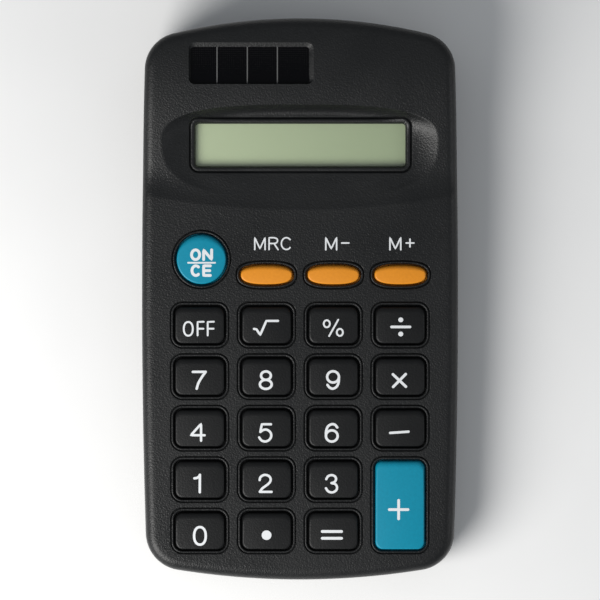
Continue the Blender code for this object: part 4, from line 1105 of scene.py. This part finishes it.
def banded_look(name, start, bands):
    """Lacquer in bands along x: the first from start, then each (end, colour), in millimetres."""
    material = Material(name, roughness=0.35)
    ends = [start] + [high for high, _ in bands]
    factor = material.mapped(material.place("X"), start * MM, ends[-1] * MM, 0.0, 1.0)
    stops = [((low - start) / (ends[-1] - start), colour) for low, (_, colour) in zip(ends, bands)]
    material.colour(material.ramp(factor, *stops, kind="CONSTANT"))
    material.rough(0.3, 0.42, 400.0)
    return material.made


BATTERY_X = (-25.0, 24.3)
RESISTOR_X = (14.0, 17.2)


def ribbon_look():
    """Amber film with a dark carbon track every millimetre."""
    film, track = (0.42, 0.22, 0.05), (0.03, 0.02, 0.012)
    tracks = [(x, (film, track)[i % 2]) for i, x in enumerate(np.arange(-7.0, 8.0, 0.5))]
    return banded_look("ribbon_amber", -7.5, tracks)


def resistor_look():
    """A beige body with three colour rings."""
    start, end = RESISTOR_X
    beige, brown, red, gold = (0.5, 0.38, 0.22), (0.1, 0.03, 0.01), (0.4, 0.02, 0.015), (0.5, 0.32, 0.08)
    rings = [(0.8, beige), (1.1, brown), (1.45, beige), (1.75, red), (2.4, beige), (2.7, gold)]
    return banded_look("component", start, [(start + x, colour) for x, colour in rings] + [(end, beige)])


def battery_look():
    """A dark sleeve with a copper-coloured end and bare metal past it."""
    silver, sleeve, copper = (0.6, 0.6, 0.58), (0.03, 0.032, 0.036), (0.62, 0.36, 0.07)
    left, right = BATTERY_X
    bands = [(left + 0.7, silver), (left + 34.0, sleeve), (left + 35.0, silver)]
    bands += [(right - 1.2, copper), (right + 1.2, silver)]
    return banded_look("battery_jacket", left - 0.1, bands)


# Looks by their slots: the values of moulded, flat_metal and clear_look, in their order.
MOULDED = {
    "case_black": (CASE_COLOUR, 0.42, 0.3, 3000.0, 1.0, 0.085, CASE_SPECULAR),
    "key_black": (KEY_COLOUR, 0.42, 0.2, 3000.0, 0.8, 0.05, 0.3),
    "key_blue": ((0.0015, 0.235, 0.355), 0.42, 0.04, 2600.0, 0.35, 0.025, 0.3),
    "key_orange": ((0.73, 0.262, 0.014), 0.42, 0.04, 2600.0, 0.35, 0.025, 0.4),
    "rubber_grey": ((0.3, 0.3, 0.29), 0.68, 0.06, 1500.0, 0.12, 0.01, 0.3),
    "epoxy_black": ((0.012, 0.012, 0.012), 0.28, 0.2, 1200.0, 0.12, 0.01, 0.5),
    "wire_red": ((0.45, 0.018, 0.016), 0.4, 0.06, 900.0, 0.1, 0.01, 0.4),
    "wire_black": ((0.012, 0.012, 0.013), 0.4, 0.1, 900.0, 0.1, 0.01, 0.4),
}
METALS = {
    "reflector_foil": ((0.62, 0.64, 0.58), 0.4, (1.0, 20.0, 1.0), 900.0),
    "spring_steel": ((0.62, 0.62, 0.6), 0.28, (1.0, 6.0, 1.0), 900.0),
    "screw_steel": ((0.5, 0.5, 0.5), 0.35, (1.0, 1.0, 1.0), 1500.0),
}
CLEAR = {"clear_plastic": ((0.8, 0.84, 0.78), 0.06, 0.05), "glass": ((0.7, 0.78, 0.72), 0.35, 0.04)}


def make_materials():
    made = {name: moulded(name, *values) for name, values in MOULDED.items()}
    made |= {name: flat_metal(name, *values) for name, values in METALS.items()}
    made |= {name: clear_look(name, *values) for name, values in CLEAR.items()}
    made |= {
        "display_green": display_look(),
        "solar_dark": solar_look(),
        "ribbon_amber": ribbon_look(),
        "board_brown": board_look(),
        "component": resistor_look(),
        "battery_jacket": battery_look(),
    }
    printed = Material("legend_white", roughness=0.5, specular=0.3)
    printed.speckle((0.74, 0.76, 0.78), 0.04, 3000.0)
    printed.bump(printed.noise(2500.0), 0.2, 0.01)
    made["legend_white"] = printed.made
    return made


def paint(obj, material):
    obj.data.materials.clear()
    obj.data.materials.append(material)
    return obj


# ---------------------------------------------------------------- solids cut and joined


def solid_block(low, high):
    """(verts, faces) of a box between two corners."""
    (x0, y0, z0), (x1, y1, z1) = low, high
    return lofted([level([(x0, y0), (x1, y0), (x1, y1), (x0, y1)], z) for z in (z0, z1)])


def side_block(side, reach, low, high):
    """A box on one side of the case, between two distances from its middle and two (y, z) corners."""
    near, far = sorted(side * x for x in reach)
    return solid_block((near, *low), (far, *high))


BROAD_FLAT = 60.0  # mm2; larger faces are flat


def shaped(name, base, steps):
    """A solid after a run of Boolean steps, each (operation, (verts, faces))."""
    result = mesh_object(name, *base)
    tools = []
    for i, (operation, form) in enumerate(steps):
        tool = mesh_object(f"{name}_tool_{i}", *form)
        tools.append(tool)
        modifier = result.modifiers.new(f"step_{i}", "BOOLEAN")
        modifier.operation = operation
        modifier.object = tool
        modifier.solver = "EXACT"
    graph = bpy.context.evaluated_depsgraph_get()
    graph.update()
    mesh = bpy.data.meshes.new_from_object(result.evaluated_get(graph))
    result.modifiers.clear()
    old = result.data
    result.data = mesh
    bpy.data.meshes.remove(old)
    for tool in tools:
        bpy.data.objects.remove(tool)
    bm = bmesh.new()
    bm.from_mesh(mesh)
    shade(mesh, bm, 30, BROAD_FLAT * MM * MM)
    return result


BACK_ROUND = 2.2
DOOR_HALF_WIDTH, DOOR_Y, DOOR_TOP_Z, DOOR_GAP = 28.0, 36.2, 5.0, 0.15
BATTERY_Y, BATTERY_Z = 45.0, 9.75
CASE_SCREWS = [(side * 28.2, y) for y in (22.0, -43.0) for side in (-1, 1)]
SCREW_HEAD_RADIUS, SCREW_HEAD_HEIGHT, SCREW_SHANK, SCREW_LENGTH = 1.8, 1.2, 0.85, 7.0
FEET = ((-21.0, 29.0), (21.0, 29.0), (-20.0, -47.0), (20.0, -47.0))
COUNTERBORE = (2.1, 3.6)


def back_ring(inset, z):
    return level(case_outline(inset, 12, 36, 24), z)


def back_rings(inset, base, top):
    """Rings of the back's outside: flat below, a round edge, then walls up to top."""
    rings = []
    for turn in np.linspace(0, math.pi / 2, 8):
        depth = inset + 0.3 + BACK_ROUND * (1 - math.sin(turn))
        rings.append(back_ring(depth, base + BACK_ROUND * (1 - math.cos(turn))))
    return [*rings, back_ring(inset, top)]


def back_cavity(grow, top):
    floor = FOOT_HEIGHT + WALL
    sections = ((1.4, floor), (0.7, floor + 0.3), (0.3, floor + 0.9), (0.0, top))
    return lofted([back_ring(WALL + grow + inset, z) for inset, z in sections])


def back_shell():
    floor = FOOT_HEIGHT + WALL
    mouth = (-DOOR_HALF_WIDTH, DOOR_Y, -1), (DOOR_HALF_WIDTH, LENGTH, DOOR_TOP_Z + DOOR_GAP)
    steps = [("DIFFERENCE", back_cavity(0.0, PARTING_Z + 1)), ("DIFFERENCE", solid_block(*mouth))]
    walls = [solid_block((-26.0, 34.9, floor - 0.4), (26.0, 35.9, 11.2))]
    walls.append(solid_block((26.3, BATTERY_Y - 3.8, 4.5), (27.3, BATTERY_Y + 3.8, BATTERY_Z + 2.6)))
    for reach, low, high in (
        ((27.9, 31.0), (37.2, floor - 0.4), (49.4, floor + 1.0)),
        ((26.5, 28.4), (37.25, floor + 0.15), (49.35, floor + 0.99)),
    ):
        walls += [side_block(side, reach, low, high) for side in (-1, 1)]
    for left, right, half in ((27.0, 31.2, 0.7), (-31.2, -29.7, 2.0)):
        walls.append(solid_block((left, BATTERY_Y - half, 4.51), (right, BATTERY_Y + half, 6.5)))
    walls += [foot_form(x, y) for x, y in FEET]
    walls += [screw_post(x, y) for x, y in CASE_SCREWS]
    steps += [("UNION", wall) for wall in walls]
    steps += [("DIFFERENCE", screw_bore(x, y)) for x, y in CASE_SCREWS]
    return shaped("back_shell_finish", lofted(back_rings(0.0, FOOT_HEIGHT, PARTING_Z - 0.05)), steps)


def screw_post(x, y):
    """A post with a thicker base, for one case screw."""
    low, shoulder, top = FOOT_HEIGHT + 0.8, 4.6, PARTING_Z - 0.08
    profile = [(0, low), (2.85, low), (2.85, shoulder), (1.9, shoulder), (1.9, top), (0, top)]
    return turned(profile, 40, Matrix.Translation((x, y, 0)))


def screw_bore(x, y):
    """The hole for one case screw, with a chamfered counterbore for its head."""
    radius, seat = COUNTERBORE
    profile = [(0, -1), (radius + 1.9, -1), (radius, FOOT_HEIGHT + 0.3), (radius, seat), (1.1, seat)]
    profile += [(1.1, PARTING_Z + 1), (0, PARTING_Z + 1)]
    return turned(profile, 45, Matrix.Translation((x, y, 0)))


def foot_form(x, y):
    """A low round foot with a soft edge."""
    root = FOOT_HEIGHT + 0.8
    profile = [(0, root), (3.0, root), (3.0, FOOT_HEIGHT), (2.75, 0.3), (2.45, 0.08), (2.2, 0.02), (0, 0.02)]
    return turned(profile, 40, Matrix.Translation((x, y, 0)))


def battery_door():
    """The sliding door: ridged grip, an arrow for the way it opens, two hooks and two tabs."""
    floor = FOOT_HEIGHT + WALL
    half = DOOR_HALF_WIDTH - DOOR_GAP
    region = solid_block((-half, DOOR_Y + DOOR_GAP, -1), (half, LENGTH, DOOR_TOP_Z))
    steps = [("INTERSECT", region), ("DIFFERENCE", back_cavity(0.2, PARTING_Z + 1))]
    for side in (-1, 1):
        for reach, low, high in (
            ((25.4, 26.3), (37.2, floor - 0.3), (49.4, floor + 1.95)),
            ((25.7, 27.3), (37.4, floor + 1.16), (49.2, floor + 1.85)),
            ((9.3, 14.7), (DOOR_Y - 1.9, floor - 0.54), (DOOR_Y + 1, floor + 0.14)),
        ):
            steps.append(("UNION", side_block(side, reach, low, high)))
    steps += [("DIFFERENCE", groove(40.5 + 1.9 * i, 0.9, 9.0)) for i in range(5)]
    arrow = [(-3.0, 51.4), (3.0, 51.4), (0.0, 54.0)]
    steps.append(("DIFFERENCE", lofted([level(arrow, z) for z in (0.0, FOOT_HEIGHT + 0.35)])))
    return shaped("battery_door_finish", lofted(back_rings(0.0, FOOT_HEIGHT, PARTING_Z)), steps)


def groove(y, width, half):
    """A round-ended channel across the door."""
    radius = width / 2
    right = arc((half, 0), radius, -math.pi / 2, math.pi / 2, 10)
    left = arc((-half, 0), radius, math.pi / 2, 3 * math.pi / 2, 10)
    ends = np.vstack((right, left))
    rings = []
    for shrink, depth in ((0.0, -1.1), (0.0, 0.0), (0.12, 0.24), (0.3, 0.4)):
        rings.append(level(ends * (1, 1 - shrink / radius) + (0, y + radius), FOOT_HEIGHT + depth))
    return lofted(rings)


# ---------------------------------------------------------------- screws, domes and battery


def cross_recess(radius, depth, turn=0.0):
    """A plus-shaped plug that tapers to a point, opening at z = 0 and reaching up to z = depth."""
    arm, half = radius, radius * 0.26
    outline = []
    for quarter in range(4):
        a = quarter * math.pi / 2 + turn
        ca, sa = math.cos(a), math.sin(a)
        for px, py in ((arm, -half), (arm, half), (half, half)):
            outline.append((px * ca - py * sa, px * sa + py * ca))
    outline = np.array(outline)
    return lofted([level(outline * scale, z) for scale, z in ((1, -0.3), (1, 0.0), (0.55, depth))])


def screw(name, radius, height, shank, length, turn):
    """A pan-head screw, head down, with a cross recess, its head's face at z = 0 and its point up."""
    profile = [(0, 0), (0.5 * radius, 0.02), (0.8 * radius, 0.12 * height), (0.95 * radius, 0.35 * height)]
    profile += [(radius, 0.6 * height), (radius, height), (shank, height), (shank, height + length - shank)]
    profile += [(0, height + length)]
    recess = cross_recess(radius * 0.58, height * 0.7, turn)
    return shaped(name, turned(profile, 40), [("DIFFERENCE", recess)])


def case_screws():
    made = []
    for i, (x, y) in enumerate(CASE_SCREWS):
        name = f"case_screw_{i + 1}_finish"
        turn = 0.4 + 0.9 * i
        piece = screw(name, SCREW_HEAD_RADIUS, SCREW_HEAD_HEIGHT, SCREW_SHANK, SCREW_LENGTH, turn)
        piece.location = Vector((x, y, COUNTERBORE[1] - 0.05 - SCREW_HEAD_HEIGHT)) * MM
        made.append((piece, f"case_screw_{i + 1}"))
    return made


BATTERY_RADIUS, NUB_RADIUS, NUB_LENGTH = 7.2, 2.7, 1.0


def battery():
    """A size AA cell across the case, in a sleeve that stands a little proud of its metal ends."""
    left, right = BATTERY_X
    length, r, nub = right - left, BATTERY_RADIUS, NUB_RADIUS
    profile = [(0, 0), (r - 0.6, 0), (r - 0.25, 0.12), (r - 0.1, 0.4), (r - 0.1, 0.7), (r, 0.8)]
    profile += [(r, length - 1.4), (r - 0.1, length - 1.2), (r - 0.1, length - 0.5)]
    profile += [(r - 0.3, length - 0.15), (r - 0.8, length), (r - 1.4, length)]
    profile += [(r - 1.8, length - 0.3), (nub + 1.0, length - 0.3)]
    profile += [(nub, length), (nub, length + NUB_LENGTH - 0.25), (nub - 0.25, length + NUB_LENGTH)]
    profile += [(0, length + NUB_LENGTH)]
    place = Matrix.Translation((left, BATTERY_Y, BATTERY_Z)) @ Matrix.Rotation(math.pi / 2, 4, "Y")
    return mesh_object("battery_finish", *turned(profile, 96, place), crisp=60)


# Key stack: heights under the keypad's face.
DOME_TOP, SHEET_TOP, SHEET_BOTTOM = -2.40, -3.90, -4.70
SHEET_BOX = (0.0, -18.4, 50.4, 67.2, 1.5)
DOME_SECTION = (
    (3.35, SHEET_TOP - 0.5), (3.35, SHEET_TOP - 0.02), (3.1, SHEET_TOP + 0.08), (2.55, SHEET_TOP + 0.75),
    (2.1, SHEET_TOP + 1.2), (1.98, SHEET_TOP + 1.36), (1.85, DOME_TOP),
)


def dome(name, x, y):
    """One silicone dome, closed below, under its key."""
    profile = [(0.0, DOME_SECTION[0][1]), *DOME_SECTION, (0.0, DOME_TOP)]
    piece = mesh_object(name, *turned(profile, 32, keypad_frame(x, y)), crisp=40)
    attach(piece, "case")
    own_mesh(piece)
    return piece


def keypad_sheet():
    rings = []
    sections = [(0.15, SHEET_BOTTOM), (0.0, SHEET_BOTTOM + 0.15), (0.0, SHEET_TOP - 0.15), (0.15, SHEET_TOP)]
    for inset, z in sections:
        rings.append(level(offset_box(SHEET_BOX, -inset, 0.5), z))
    verts, faces = lofted(rings)
    return mesh_object("dome_sheet_finish", moved(verts, keypad_frame()), faces)


# ---------------------------------------------------------------- the whole object


def key_slot(name):
    if name in ("on_ce", "plus"):
        return "key_blue"
    return "key_orange" if name in ("mrc", "m_minus", "m_plus") else "key_black"


def add(piece, look, body, nodes=()):
    """Paints a piece, ties it to its body and hides the CAD nodes it stands for."""
    paint(piece, look)
    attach(piece, body)
    if nodes:
        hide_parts(*nodes)


def build():
    looks = make_materials()
    for row in frame["record"]["subparts"]:
        paint(NODES[row["node"]], looks[row["material_slot"]])
    add(front_shell(), looks["case_black"], "case", ["front_shell"])
    add(back_shell(), looks["case_black"], "case", ["back_shell"])
    add(battery_door(), looks["case_black"], "battery_door", ["battery_door"])
    for piece, node in case_screws():
        add(piece, looks["screw_steel"], "case", [node])
    add(battery(), looks["battery_jacket"], "case", ["battery"])
    white = looks["legend_white"]
    for key in KEYS:
        name = key[0]
        slot = key_slot(name)
        add(key_cap(key), looks[slot], "key_" + name, ["key_" + name])
        legend = key_legend(key)
        if legend:
            add(legend, white, "key_" + name)
    for name in CASE_LEGENDS:
        add(case_legend(name), white, "case")
    add(keypad_sheet(), looks["rubber_grey"], "case", ["dome_sheet"])
    for key in KEYS:
        name, x, y = key[0], key[2], key[3]
        offsets = (-ROW_PITCH / 2, ROW_PITCH / 2) if name == "plus" else (0.0,)
        for i, offset in enumerate(offsets):
            piece = dome(f"dome_{name}_{i + 1}", x, y + offset)
            paint(piece, looks["rubber_grey"])


build()


# ---------------------------------------------------------------- stage, light and camera


def soft_light(name, place, size, watts, tint=(1, 1, 1)):
    """A round soft box that faces the object."""
    data = bpy.data.lights.new(name, "AREA")
    data.color = tint
    data.shape = "DISK"
    data.size = size
    data.energy = watts
    light = bpy.data.objects.new(name, data)
    light.location = place
    light.rotation_euler = (-Vector(place)).to_track_quat("-Z", "Y").to_euler()
    bpy.context.scene.collection.objects.link(light)
    return light


def make_stage():
    bpy.ops.mesh.primitive_plane_add(size=6.0)
    floor = bpy.context.object
    floor.name = "floor"
    paper = Material("floor_paper", roughness=0.9, specular=0.1)
    paper.speckle((0.9, 0.9, 0.9), 0.01, 40.0)
    paint(floor, paper.made)
    lights = [
        soft_light("key_light", KEY_LIGHT, KEY_LIGHT_SIZE, KEY_LIGHT_WATTS, KEY_LIGHT_TINT),
        soft_light("fill_light", FILL_LIGHT, FILL_LIGHT_SIZE, FILL_LIGHT_WATTS),
    ]
    world = bpy.data.worlds.new("studio")
    world.use_nodes = True
    sky = world.node_tree.nodes["Background"]
    sky.inputs["Color"].default_value = (*WORLD_TINT, 1)
    sky.inputs["Strength"].default_value = WORLD_STRENGTH
    bpy.context.scene.world = world
    bpy.context.scene.view_settings.view_transform = "Standard"


def make_camera():
    """A long lens straight above the case."""
    data = bpy.data.cameras.new("camera")
    data.lens = CAMERA_LENS
    camera = bpy.data.objects.new("camera", data)
    camera.location = (0, 0, CAMERA_HEIGHT)
    bpy.context.scene.collection.objects.link(camera)
    bpy.context.scene.camera = camera


make_stage()
make_camera()
